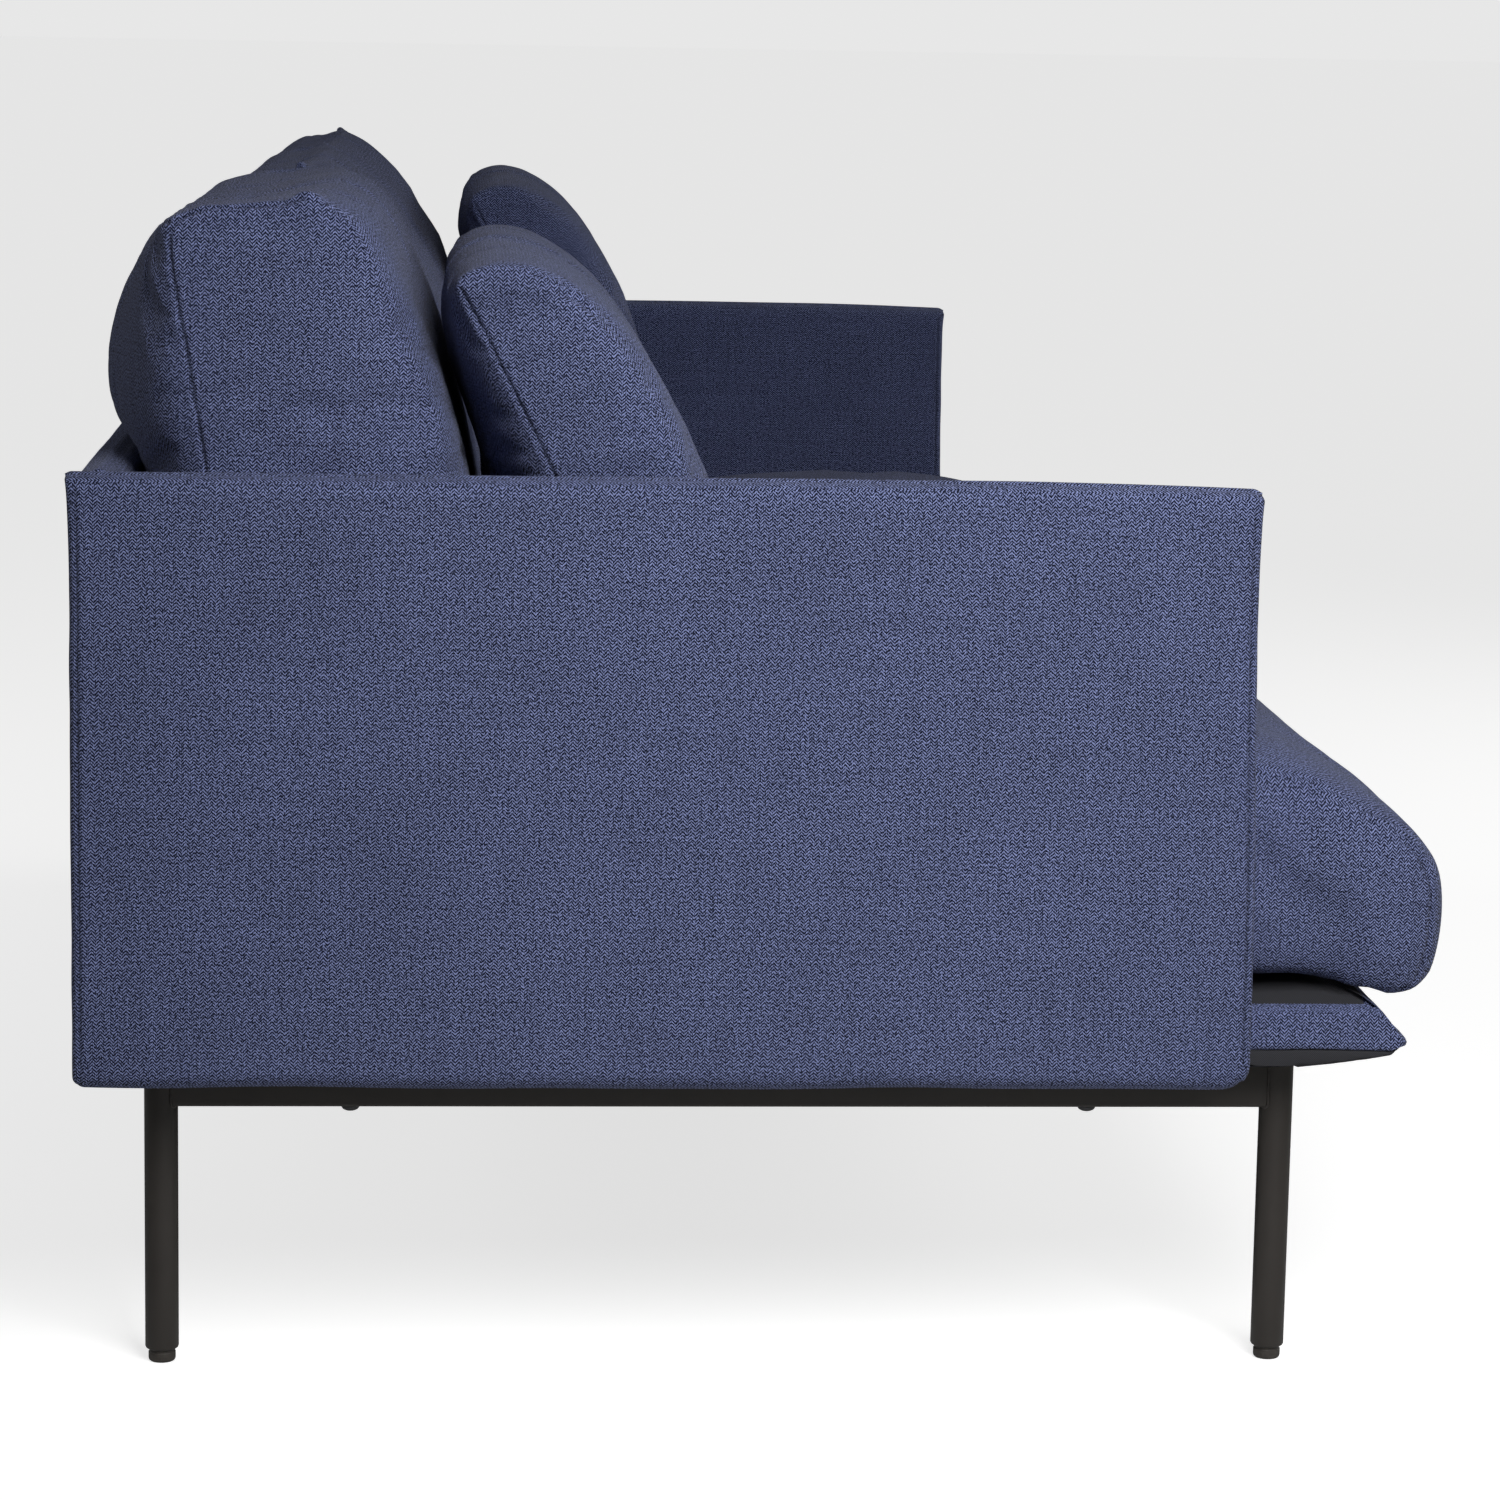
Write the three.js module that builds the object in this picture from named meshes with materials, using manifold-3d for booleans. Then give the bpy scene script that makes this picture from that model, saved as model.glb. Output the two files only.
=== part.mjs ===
// A deep three-seat daybed sofa: a black steel leg frame carries a low upholstered
// base with two thin upholstered arms and a thin upholstered back. A bench seat
// cushion, three back cushions and two pillows lie loose on it and lift off.
// Millimetres, +Z up, length along X, the front of the sofa faces -Y.
// Left and right are as seen by someone standing in front of it.
import * as THREE from 'three';
import { mergeVertices } from 'three/addons/utils/BufferGeometryUtils.js';
import Module from 'manifold-3d';

const wasm = await Module();
wasm.setup();

// overall size
const LENGTH = 2160;
const DEPTH = 1010;
const BACK_Y = DEPTH / 2;
const GAP = 0.4;

// arms and back
const PANEL_BOTTOM = 235;
const PANEL_TOP = 683;
const ARM_DEPTH = 860;
const ARM_THICK = 36;
const BACK_THICK = 38;
const PANEL_PADDING = 8;
const ARM_INNER_X = LENGTH / 2 - ARM_THICK;

// leg frame
const LEG_DIAMETER = 25.4;
const LEG_WALL = 2;
const LEG_X = LENGTH / 2 - 100;
const LEG_BACK_IN = 58;
const LEG_FRONT_IN = 906;
const LEG_FOOT = 10;
const FRAME_TOP = 239.7;
const RAIL_WIDTH = 20;
const RAIL_HEIGHT = 40;
const RAIL_WALL = 2;
const RAIL_START = RAIL_WIDTH / 2 + 0.5;
const GLIDE_RADIUS = 10.2;
const GLIDE_STEM = 26;

// upholstered base
const BASE_HALF = ARM_INNER_X - GAP;
const BASE_BOTTOM = 241.5;
const BASE_TOP = 307;
const BASE_FRONT_IN = 991;
const BOARD_BOTTOM = 244.2;
const BOARD_TOP = 282.2;
const BOARD_WIDTH = 60;
const SIDE_BOARD_WIDTH = 90;
const FRONT_BOARD_FROM = 870;
const FRONT_BOARD_TO = 925;
const FRONT_BOARD_BOTTOM = 248;
const WEBBING_WIDTH = 50;
const WEBBING_COUNT = 6;
const CLOTH = 2;

// screws
const BOLT_RADIUS = 4;
const BOLT_CLEARANCE = 0.4;
const HEAD_RADIUS = 7;
const HEAD_HEIGHT = 4;
const RAIL_BOLTS_IN = [200, 760];
const ARM_BOLTS_IN = [250, 650];
const BACK_BOLTS_X = 500;
const PANEL_BOLT_Z = 264;

// loose cushions
const SEAT_BOTTOM = BASE_TOP + 0.5;
const SEAT_TOP = 470;
const SEAT_HALF = ARM_INNER_X - 3;
const CUSHION_BOTTOM = SEAT_TOP + 0.8;
const BACK_CUSHION_COUNT = 3;
const CUSHION_SIDE_GAP = 2;
const PILLOW_WIDTH = 620;
const PILLOW_END_GAP = 8;

const finishes = {
  fabric: { color: 0x5d6886, roughness: 0.95, metalness: 0 },
  steel: { color: 0x3a3734, roughness: 0.55, metalness: 0.3 },
  plastic: { color: 0x2a2827, roughness: 0.6, metalness: 0 },
  timber: { color: 0xc8a878, roughness: 0.7, metalness: 0 },
  foam: { color: 0xe9e2c8, roughness: 0.95, metalness: 0 },
  webbing: { color: 0x3f3c3a, roughness: 0.9, metalness: 0 },
  lining: { color: 0x232323, roughness: 0.95, metalness: 0 },
  zinc: { color: 0xb9bcc0, roughness: 0.35, metalness: 0.9 },
  zip: { color: 0x30384e, roughness: 0.6, metalness: 0 },
};

const group = new THREE.Group();

function add(name, finish, geometry) {
  geometry.computeVertexNormals();
  const mesh = new THREE.Mesh(geometry, new THREE.MeshStandardMaterial(finishes[finish]));
  mesh.name = name;
  group.add(mesh);
}

// the Y of a point so far in from the outer face of the back
function inFromBack(distance) {
  return BACK_Y - distance;
}

function toSolid(geometry) {
  const plain = geometry.clone();
  plain.deleteAttribute('normal');
  plain.deleteAttribute('uv');
  const merged = mergeVertices(plain, 1e-3);
  const mesh = new wasm.Mesh({
    numProp: 3,
    vertProperties: new Float32Array(merged.attributes.position.array),
    triVerts: new Uint32Array(merged.index.array),
  });
  return new wasm.Manifold(mesh);
}

function toGeometry(solid) {
  const mesh = solid.getMesh();
  const geometry = new THREE.BufferGeometry();
  geometry.setAttribute('position', new THREE.Float32BufferAttribute(mesh.vertProperties, 3));
  geometry.setIndex(new THREE.Uint32BufferAttribute(mesh.triVerts, 1));
  return geometry;
}

function cut(geometry, ...tools) {
  return toGeometry(tools.reduce((left, tool) => left.subtract(toSolid(tool)), toSolid(geometry)));
}

function common(geometry, other) {
  return toGeometry(toSolid(geometry).intersect(toSolid(other)));
}

function block(x0, x1, in0, in1, z0, z1) {
  const box = new THREE.BoxGeometry(x1 - x0, in1 - in0, z1 - z0);
  return box.translate((x0 + x1) / 2, inFromBack((in0 + in1) / 2), (z0 + z1) / 2);
}

// a closed outline in the side view, each corner [in from the back, height, rounding]
function outline(corners) {
  const points = corners.map(([distance, z]) => new THREE.Vector2(inFromBack(distance), z));
  const shape = new THREE.Shape();
  points.forEach((corner, i) => {
    const before = points[(i + points.length - 1) % points.length];
    const after = points[(i + 1) % points.length];
    const radius = corners[i][2];
    const from = corner.clone().add(before.clone().sub(corner).setLength(radius));
    const to = corner.clone().add(after.clone().sub(corner).setLength(radius));
    if (i === 0) shape.moveTo(from.x, from.y);
    else shape.lineTo(from.x, from.y);
    shape.quadraticCurveTo(corner.x, corner.y, to.x, to.y);
  });
  shape.closePath();
  return shape;
}

// the outline swept along the length of the sofa, with its end edges rounded
function sweep(corners, x0, x1, rounding) {
  const geometry = new THREE.ExtrudeGeometry(outline(corners), {
    depth: x1 - x0 - 2 * rounding,
    bevelEnabled: true,
    bevelThickness: rounding,
    bevelSize: rounding,
    bevelOffset: -rounding,
    bevelSegments: 2,
    curveSegments: 2,
  });
  const alongX = new THREE.Matrix4().makeBasis(
    new THREE.Vector3(0, 1, 0),
    new THREE.Vector3(0, 0, 1),
    new THREE.Vector3(1, 0, 0),
  );
  return geometry.applyMatrix4(alongX).translate(x0 + rounding, 0, 0);
}

// the same shape, smaller by the inset on every side
function inside(geometry, inset) {
  geometry.computeBoundingBox();
  const size = geometry.boundingBox.getSize(new THREE.Vector3());
  const centre = geometry.boundingBox.getCenter(new THREE.Vector3());
  const smaller = geometry.clone().translate(-centre.x, -centre.y, -centre.z);
  smaller.scale(1 - 2 * inset / size.x, 1 - 2 * inset / size.y, 1 - 2 * inset / size.z);
  return smaller.translate(centre.x, centre.y, centre.z);
}

function tubeProfile(outer, inner, z0, z1) {
  return [
    new THREE.Vector2(inner, z0),
    new THREE.Vector2(outer, z0),
    new THREE.Vector2(outer, z1),
    new THREE.Vector2(inner, z1),
    new THREE.Vector2(inner, z0),
  ];
}

// a lathe turned to stand along +Z
function turned(points, segments) {
  return new THREE.LatheGeometry(points, segments).rotateX(Math.PI / 2);
}

// a solid of revolution starting at its head, pointing along the given direction
function bolt(headAt, direction, length) {
  const points = [
    new THREE.Vector2(0, -HEAD_HEIGHT),
    new THREE.Vector2(HEAD_RADIUS * 0.7, -HEAD_HEIGHT),
    new THREE.Vector2(HEAD_RADIUS, -HEAD_HEIGHT * 0.4),
    new THREE.Vector2(HEAD_RADIUS, 0),
    new THREE.Vector2(BOLT_RADIUS, 0),
    new THREE.Vector2(BOLT_RADIUS, length - 1),
    new THREE.Vector2(BOLT_RADIUS - 1, length),
    new THREE.Vector2(0, length),
  ];
  return pointed(new THREE.LatheGeometry(points, 12), headAt, direction);
}

function boltHole(headAt, direction, length) {
  const radius = BOLT_RADIUS + BOLT_CLEARANCE;
  const tool = new THREE.CylinderGeometry(radius, radius, length + 1, 12);
  return pointed(tool.translate(0, (length + 1) / 2 - 0.2, 0), headAt, direction);
}

function pointed(geometry, at, direction) {
  const up = new THREE.Vector3(0, 1, 0);
  const turn = new THREE.Quaternion().setFromUnitVectors(up, direction);
  return geometry.applyQuaternion(turn).translate(at.x, at.y, at.z);
}

const UP = new THREE.Vector3(0, 0, 1);
const BACKWARDS = new THREE.Vector3(0, 1, 0);

// every screw: its name, the middle of the seat under its head, direction and length
const screws = [];
for (const [side, sign] of [['left', -1], ['right', 1]]) {
  const outward = new THREE.Vector3(sign, 0, 0);
  RAIL_BOLTS_IN.forEach((distance, i) => {
    const at = new THREE.Vector3(sign * LEG_X, inFromBack(distance), FRAME_TOP - RAIL_HEIGHT - GAP);
    screws.push({ name: `rail_screw_${side}_${i + 1}`, at, direction: UP, length: 70 });
  });
  ARM_BOLTS_IN.forEach((distance, i) => {
    const x = sign * (BASE_HALF - CLOTH - GAP - SIDE_BOARD_WIDTH - GAP);
    const at = new THREE.Vector3(x, inFromBack(distance), PANEL_BOLT_Z);
    screws.push({ name: `arm_screw_${side}_${i + 1}`, at, direction: outward, length: 112 });
  });
  const backAt = new THREE.Vector3(sign * BACK_BOLTS_X, inFromBack(BACK_THICK + 66), PANEL_BOLT_Z);
  screws.push({ name: `back_screw_${side}`, at: backAt, direction: BACKWARDS, length: 80 });
}
RAIL_BOLTS_IN.forEach((distance, i) => {
  const at = new THREE.Vector3(0, inFromBack(distance), FRAME_TOP - RAIL_HEIGHT - GAP);
  screws.push({ name: `crossbar_screw_${i + 1}`, at, direction: UP, length: 70 });
});
const holes = screws.map(({ at, direction, length }) => boltHole(at, direction, length));

function addDrilled(name, finish, geometry) {
  add(name, finish, cut(geometry, ...holes));
}

// round steel legs with plastic glides pushed into their feet
for (const [end, distance] of [['back', LEG_BACK_IN], ['front', LEG_FRONT_IN]]) {
  for (const [side, sign] of [['left', -1], ['right', 1]]) {
    const y = inFromBack(distance);
    const bore = LEG_DIAMETER / 2 - LEG_WALL;
    const tube = turned(tubeProfile(LEG_DIAMETER / 2, bore, LEG_FOOT, FRAME_TOP), 24);
    add(`leg_${end}_${side}`, 'steel', tube.translate(sign * LEG_X, y, 0));
    const glide = turned([
      new THREE.Vector2(0, 0),
      new THREE.Vector2(GLIDE_RADIUS - 1.2, 0),
      new THREE.Vector2(GLIDE_RADIUS, 1.2),
      new THREE.Vector2(GLIDE_RADIUS, LEG_FOOT - GAP),
      new THREE.Vector2(bore - GAP, LEG_FOOT - GAP),
      new THREE.Vector2(bore - GAP, LEG_FOOT + GLIDE_STEM),
      new THREE.Vector2(0, LEG_FOOT + GLIDE_STEM),
    ], 24);
    add(`glide_${end}_${side}`, 'plastic', glide.translate(sign * LEG_X, y, 0));
  }
}

// rectangular rails: a hollow section open at both ends, coped round the legs
function legTool(sign, distance) {
  const radius = LEG_DIAMETER / 2 + GAP;
  const tool = new THREE.CylinderGeometry(radius, radius, 2 * FRAME_TOP, 24).rotateX(Math.PI / 2);
  return tool.translate(sign * LEG_X, inFromBack(distance), 0);
}

function railAlongY(x, in0, in1) {
  const half = RAIL_WIDTH / 2;
  const z0 = FRAME_TOP - RAIL_HEIGHT;
  const outer = block(x - half, x + half, in0, in1, z0, FRAME_TOP);
  const bore = block(x - half + RAIL_WALL, x + half - RAIL_WALL, in0 - 1, in1 + 1,
    z0 + RAIL_WALL, FRAME_TOP - RAIL_WALL);
  return cut(outer, bore);
}

function railAlongX(distance, x0, x1) {
  const half = RAIL_WIDTH / 2;
  const z0 = FRAME_TOP - RAIL_HEIGHT;
  const outer = block(x0, x1, distance - half, distance + half, z0, FRAME_TOP);
  const bore = block(x0 - 1, x1 + 1, distance - half + RAIL_WALL, distance + half - RAIL_WALL,
    z0 + RAIL_WALL, FRAME_TOP - RAIL_WALL);
  return cut(outer, bore);
}

for (const [side, sign] of [['left', -1], ['right', 1]]) {
  const rail = railAlongY(sign * LEG_X, LEG_BACK_IN + RAIL_START, LEG_FRONT_IN - RAIL_START);
  addDrilled(`end_rail_${side}`, 'steel', cut(rail, legTool(sign, LEG_BACK_IN), legTool(sign, LEG_FRONT_IN)));
}
for (const [end, distance] of [['back', LEG_BACK_IN], ['front', LEG_FRONT_IN]]) {
  const rail = railAlongX(distance, RAIL_START - LEG_X, LEG_X - RAIL_START);
  add(`${end}_rail`, 'steel', cut(rail, legTool(-1, distance), legTool(1, distance)));
}
const crossbarFrom = LEG_BACK_IN + RAIL_WIDTH / 2 + GAP;
const crossbarTo = LEG_FRONT_IN - RAIL_WIDTH / 2 - GAP;
addDrilled('crossbar', 'steel', railAlongY(0, crossbarFrom, crossbarTo));

// base: timber frame, webbing, foam, cover and a lining under it
const baseCorners = [
  [BACK_THICK + GAP, BASE_BOTTOM, 6],
  [BACK_THICK + GAP, BASE_TOP, 6],
  [945, BASE_TOP, 14],
  [981, 290, 10],
  [BASE_FRONT_IN, 262, 6],
  [970, 251, 8],
  [925, 244.5, 8],
  [870, BASE_BOTTOM, 8],
];
const baseShape = sweep(baseCorners, -BASE_HALF, BASE_HALF, 3);
const baseCavity = inside(baseShape, CLOTH);
const baseFill = inside(baseShape, CLOTH + GAP);
const baseMouth = block(-960, 960, 110, 850, BASE_BOTTOM - 5, BASE_BOTTOM + 8);
addDrilled('base_cover', 'fabric', cut(baseShape, baseCavity, baseMouth));

const sideBoardFrom = BASE_HALF - CLOTH - GAP - SIDE_BOARD_WIDTH;
const sideBoardTo = BASE_HALF - CLOTH - GAP;
const backBoardFrom = BACK_THICK + GAP + CLOTH + GAP;
const backBoardTo = backBoardFrom + BOARD_WIDTH;

// a board, its edges eased to the rounding inside the cover
function addBoard(place, x0, x1, in0, in1, z0) {
  addDrilled(`base_board_${place}`, 'timber', common(baseFill, block(x0, x1, in0, in1, z0, BOARD_TOP)));
}

const betweenFrom = backBoardTo + GAP;
const betweenTo = FRONT_BOARD_FROM - GAP;
addBoard('back', -sideBoardTo, sideBoardTo, backBoardFrom, backBoardTo, BOARD_BOTTOM);
addBoard('front', -sideBoardTo, sideBoardTo, FRONT_BOARD_FROM, FRONT_BOARD_TO, FRONT_BOARD_BOTTOM);
addBoard('left', -sideBoardTo, -sideBoardFrom, betweenFrom, betweenTo, BOARD_BOTTOM);
addBoard('right', sideBoardFrom, sideBoardTo, betweenFrom, betweenTo, BOARD_BOTTOM);
addBoard('centre', -BOARD_WIDTH / 2, BOARD_WIDTH / 2, betweenFrom, betweenTo, BOARD_BOTTOM);

const webbingPitch = 2 * sideBoardFrom / WEBBING_COUNT;
for (let i = 0; i < WEBBING_COUNT; i += 1) {
  const x = (i + 0.5) * webbingPitch - sideBoardFrom;
  add(`webbing_${i + 1}`, 'webbing', block(
    x - WEBBING_WIDTH / 2, x + WEBBING_WIDTH / 2, backBoardFrom + 10, FRONT_BOARD_TO - 10,
    BOARD_TOP + GAP, BOARD_TOP + 2));
}

const foamBottom = BOARD_TOP + 2 + GAP;
const noseFrom = FRONT_BOARD_TO + GAP;
add('base_foam', 'foam', common(baseFill, block(
  -LENGTH, LENGTH, 0, noseFrom - GAP, foamBottom, BASE_TOP)));
add('base_foam_front', 'foam', common(baseFill, block(
  -LENGTH, LENGTH, noseFrom, DEPTH, 0, BASE_TOP)));
addDrilled('dust_lining', 'lining', block(
  -975, 975, 80, 880, FRAME_TOP + GAP, BASE_BOTTOM - GAP));

// arms: a board in a padded cover that is open along its bottom edge
const armCorners = [
  [0, PANEL_BOTTOM, 18],
  [0, PANEL_TOP, 9],
  [ARM_DEPTH, PANEL_TOP, 11],
  [ARM_DEPTH, PANEL_BOTTOM, 30],
];
for (const [side, sign] of [['left', -1], ['right', 1]]) {
  const x0 = Math.min(sign * ARM_INNER_X, sign * LENGTH / 2);
  const shape = sweep(armCorners, x0, x0 + ARM_THICK, 4);
  const middle = x0 + ARM_THICK / 2;
  const mouth = block(middle - 8, middle + 8, 50, ARM_DEPTH - 60, PANEL_BOTTOM - 5, PANEL_BOTTOM + 12);
  addDrilled(`arm_cover_${side}`, 'fabric', cut(shape, inside(shape, PANEL_PADDING), mouth));
  addDrilled(`arm_board_${side}`, 'timber', inside(shape, PANEL_PADDING + GAP));
}

// back: the same build between the arms
const backCorners = [
  [0, PANEL_BOTTOM, 7],
  [0, PANEL_TOP, 9],
  [BACK_THICK, PANEL_TOP, 9],
  [BACK_THICK, PANEL_BOTTOM, 7],
];
const backShape = sweep(backCorners, -BASE_HALF, BASE_HALF, 4);
const backMouth = block(-980, 980, BACK_THICK / 2 - 8, BACK_THICK / 2 + 8, PANEL_BOTTOM - 5, PANEL_BOTTOM + 12);
addDrilled('back_cover', 'fabric', cut(backShape, inside(backShape, PANEL_PADDING), backMouth));
addDrilled('back_board', 'timber', inside(backShape, PANEL_PADDING + GAP));

for (const { name, at, direction, length } of screws) {
  add(name, name.startsWith('arm') || name.startsWith('back') ? 'zinc' : 'steel', bolt(at, direction, length));
}

// a loose cushion: a foam filling in a thin cover with a zip opening
function addCushion(name, shape, opening) {
  add(`${name}_cover`, 'fabric', cut(shape, inside(shape, CLOTH), opening));
  add(`${name}_filling`, 'foam', inside(shape, CLOTH + GAP));
}

const seatCorners = [
  [BACK_THICK + 3, SEAT_BOTTOM, 20],
  [BACK_THICK + 3, SEAT_TOP, 26],
  [DEPTH, SEAT_TOP, 60],
  [DEPTH, SEAT_BOTTOM, 28],
];
const zipZ = (SEAT_BOTTOM + SEAT_TOP) / 2;
const zipIn = BACK_THICK + 3;
addCushion('seat_cushion', sweep(seatCorners, -SEAT_HALF, SEAT_HALF, 12),
  block(-750, 750, zipIn - 5, zipIn + 10, zipZ - 6, zipZ + 6));
add('seat_cushion_zip', 'zip', block(
  -750 + GAP, 750 - GAP, zipIn + 0.2, zipIn + CLOTH - 0.2, zipZ - 6 + GAP, zipZ + 6 - GAP));

const backCushionCorners = [
  [80, CUSHION_BOTTOM, 14],
  [28, 795, 12],
  [52, 858, 12],
  [80, 883, 12],
  [160, 885, 14],
  [205, 866, 16],
  [250, 785, 24],
  [289, 684, 30],
  [306, 590, 30],
  [303, CUSHION_BOTTOM, 18],
];
const cushionPitch = 2 * SEAT_HALF / BACK_CUSHION_COUNT;
['left', 'middle', 'right'].forEach((place, i) => {
  const x0 = i * cushionPitch - SEAT_HALF + CUSHION_SIDE_GAP / 2;
  const x1 = x0 + cushionPitch - CUSHION_SIDE_GAP;
  addCushion(`back_cushion_${place}`, sweep(backCushionCorners, x0, x1, 7),
    block(x0 + 100, x1 - 100, 180, 190, CUSHION_BOTTOM - 5, CUSHION_BOTTOM + 20));
});

const pillowCorners = [
  [386, CUSHION_BOTTOM, 16],
  [259, 814, 12],
  [285, 834, 12],
  [330, 842, 14],
  [390, 806, 26],
  [440, 735, 30],
  [475, 655, 30],
  [500, 550, 24],
  [497, 490, 14],
  [470, CUSHION_BOTTOM, 12],
];
for (const [side, sign] of [['left', -1], ['right', 1]]) {
  const outer = sign * (ARM_INNER_X - PILLOW_END_GAP);
  const x0 = Math.min(outer, outer - sign * PILLOW_WIDTH);
  addCushion(`pillow_${side}`, sweep(pillowCorners, x0, x0 + PILLOW_WIDTH, 7),
    block(x0 + 100, x0 + PILLOW_WIDTH - 100, 430, 440, CUSHION_BOTTOM - 5, CUSHION_BOTTOM + 20));
}

export default group;
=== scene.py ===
"""A deep daybed sofa: thin padded arms and back on a low upholstered base with a
black steel leg frame, a bench seat cushion, three back cushions and two pillows."""

import math

import bmesh
import bpy
import numpy as np
from mathutils import Matrix, Vector, noise
from mathutils.bvhtree import BVHTree
from mathutils.kdtree import KDTree


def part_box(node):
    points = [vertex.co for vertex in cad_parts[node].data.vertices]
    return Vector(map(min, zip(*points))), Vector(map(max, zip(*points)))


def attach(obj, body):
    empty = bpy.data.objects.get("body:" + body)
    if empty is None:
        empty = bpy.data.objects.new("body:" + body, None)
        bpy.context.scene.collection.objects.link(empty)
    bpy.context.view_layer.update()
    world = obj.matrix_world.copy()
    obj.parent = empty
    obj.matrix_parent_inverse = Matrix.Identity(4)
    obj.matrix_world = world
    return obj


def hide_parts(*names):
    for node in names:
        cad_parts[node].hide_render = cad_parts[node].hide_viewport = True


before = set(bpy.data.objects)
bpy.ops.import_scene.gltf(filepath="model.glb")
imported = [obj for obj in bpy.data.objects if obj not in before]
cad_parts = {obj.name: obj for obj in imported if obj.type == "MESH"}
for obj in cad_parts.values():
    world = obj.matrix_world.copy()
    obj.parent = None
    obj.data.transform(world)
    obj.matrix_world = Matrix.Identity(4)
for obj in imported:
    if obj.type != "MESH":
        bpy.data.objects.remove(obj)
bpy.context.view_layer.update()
scene = bpy.context.scene


# ---- studio ----------------------------------------------------------------
# A white seamless floor, a large soft light close to the near end, weaker ones in
# front and behind, and a weak even sky. Floor and sky look brighter than they light.
SKY_LIGHT = 0.10
SKY_SEEN = 0.80
FLOOR_SEEN = 0.72
FLOOR_HALF = 300.0       # metres, so that no horizon shows


def linear(hex_colour):
    """A six-digit sRGB hex colour as linear red, green, blue and alpha."""
    srgb = [int(hex_colour[i:i + 2], 16) / 255 for i in (0, 2, 4)]
    return [c / 12.92 if c <= 0.04045 else ((c + 0.055) / 1.055) ** 2.4 for c in srgb] + [1]


def add(tree, kind, inputs=None, out=0, **settings):
    """Adds a node with its settings, values and links, and returns one of its outputs."""
    made = tree.nodes.new(kind)
    for name, value in settings.items():
        setattr(made, name, value)
    for socket, value in (inputs or {}).items():
        if isinstance(value, bpy.types.NodeSocket):
            tree.links.new(value, made.inputs[socket])
        else:
            made.inputs[socket].default_value = value
    return made.outputs[out] if made.outputs else made


def new_material(name):
    material = bpy.data.materials.new(name)
    material.use_nodes = True
    material.node_tree.nodes.clear()
    return material, material.node_tree


def stripes(tree, distance, pitch):
    """A wave between -1 and 1 that repeats along a distance."""
    turns = add(tree, "ShaderNodeMath", {0: distance, 1: 2 * math.pi / pitch}, operation="MULTIPLY")
    return add(tree, "ShaderNodeMath", {0: turns}, operation="SINE")


def two_tone(tree, share, dark, pale, sockets, bump=None):
    """Ends a material's tree: a pattern mixes two colours, and a bump may be given
    as its height, strength and distance."""
    colour = add(tree, "ShaderNodeMix", {
        "Factor": share, 6: linear(dark), 7: linear(pale)}, out=2, data_type="RGBA")
    if bump:
        height, strength, distance = bump
        sockets = {**sockets, "Normal": add(tree, "ShaderNodeBump", {
            "Height": height, "Strength": strength, "Distance": distance})}
    add(tree, "ShaderNodeOutputMaterial", {
        "Surface": add(tree, "ShaderNodeBsdfPrincipled", {"Base Color": colour, **sockets})})


def refinish(starts, material):
    """Puts a material on the CAD solids whose names start so."""
    for node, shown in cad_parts.items():
        if node.startswith(starts):
            shown.data.materials.clear()
            shown.data.materials.append(material)


camera = bpy.data.objects.new("camera", bpy.data.cameras.new("camera"))
scene.collection.objects.link(camera)
camera.location = (-4.2335, 0.2335, 1.0022)
camera.rotation_euler = [math.radians(angle) for angle in (80.773, -0.987, -93.818)]
camera.data.lens = 105.75
camera.data.sensor_width = 36
scene.camera = camera
scene.view_settings.view_transform = "Standard"

sky = bpy.data.worlds.new("studio")
scene.world = sky
sky.use_nodes = True
sky.node_tree.nodes.clear()
backdrop = add(sky.node_tree, "ShaderNodeLightPath", out="Is Camera Ray")
add(sky.node_tree, "ShaderNodeOutputWorld", {
    "Surface": add(sky.node_tree, "ShaderNodeBackground", {
        "Color": linear("ffffff"),
        "Strength": add(sky.node_tree, "ShaderNodeMapRange", {
            "Value": backdrop, "To Min": SKY_LIGHT, "To Max": SKY_SEEN})})})

for name, place, aim, size, watts, spread in (
    ("near_end", (-2.6, -0.5, 1.75), (-1.05, -0.15, 0.52), (1.2, 1.2), 11.2, 80),
    ("front", (1.5, -3.0, 2.0), (0.2, -0.3, 0.4), (2.2, 1.4), 17, 140),
    ("rear", (1.2, 3.2, 1.8), (0.0, 0.3, 0.4), (2.2, 1.4), 9, 140),
):
    lamp = bpy.data.lights.new(name, "AREA")
    lamp.shape = "RECTANGLE"
    lamp.size, lamp.size_y = size
    lamp.energy = watts
    lamp.spread = math.radians(spread)
    held = bpy.data.objects.new(name, lamp)
    scene.collection.objects.link(held)
    held.location = place
    held.rotation_euler = (Vector(aim) - Vector(place)).to_track_quat("-Z", "Y").to_euler()

floor_mesh = bpy.data.meshes.new("floor")
floor_mesh.from_pydata(
    [(x * FLOOR_HALF, y * FLOOR_HALF, 0) for x, y in ((-1, -1), (1, -1), (1, 1), (-1, 1))],
    [], [(0, 1, 2, 3)])
floor = bpy.data.objects.new("floor", floor_mesh)
scene.collection.objects.link(floor)
floor_paint, tree = new_material("white_paper_sweep")
add(tree, "ShaderNodeOutputMaterial", {
    "Surface": add(tree, "ShaderNodeBsdfPrincipled", {
        "Base Color": linear("cfcfce"), "Roughness": 0.9, "Emission Color": linear("ffffff"),
        "Emission Strength": add(tree, "ShaderNodeMath", {
            0: add(tree, "ShaderNodeLightPath", out="Is Camera Ray"),
            1: FLOOR_SEEN}, operation="MULTIPLY")})})
floor.data.materials.append(floor_paint)


# ---- steel leg frame ---------------------------------------------------------
# Four round tube legs with rectangular rails welded between them, in mild steel,
# powder-coated matt black. The coat is slightly pebbled and softens every edge.
TUBE_CORNER = 0.0028
LEG_SIDES = 56

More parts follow.
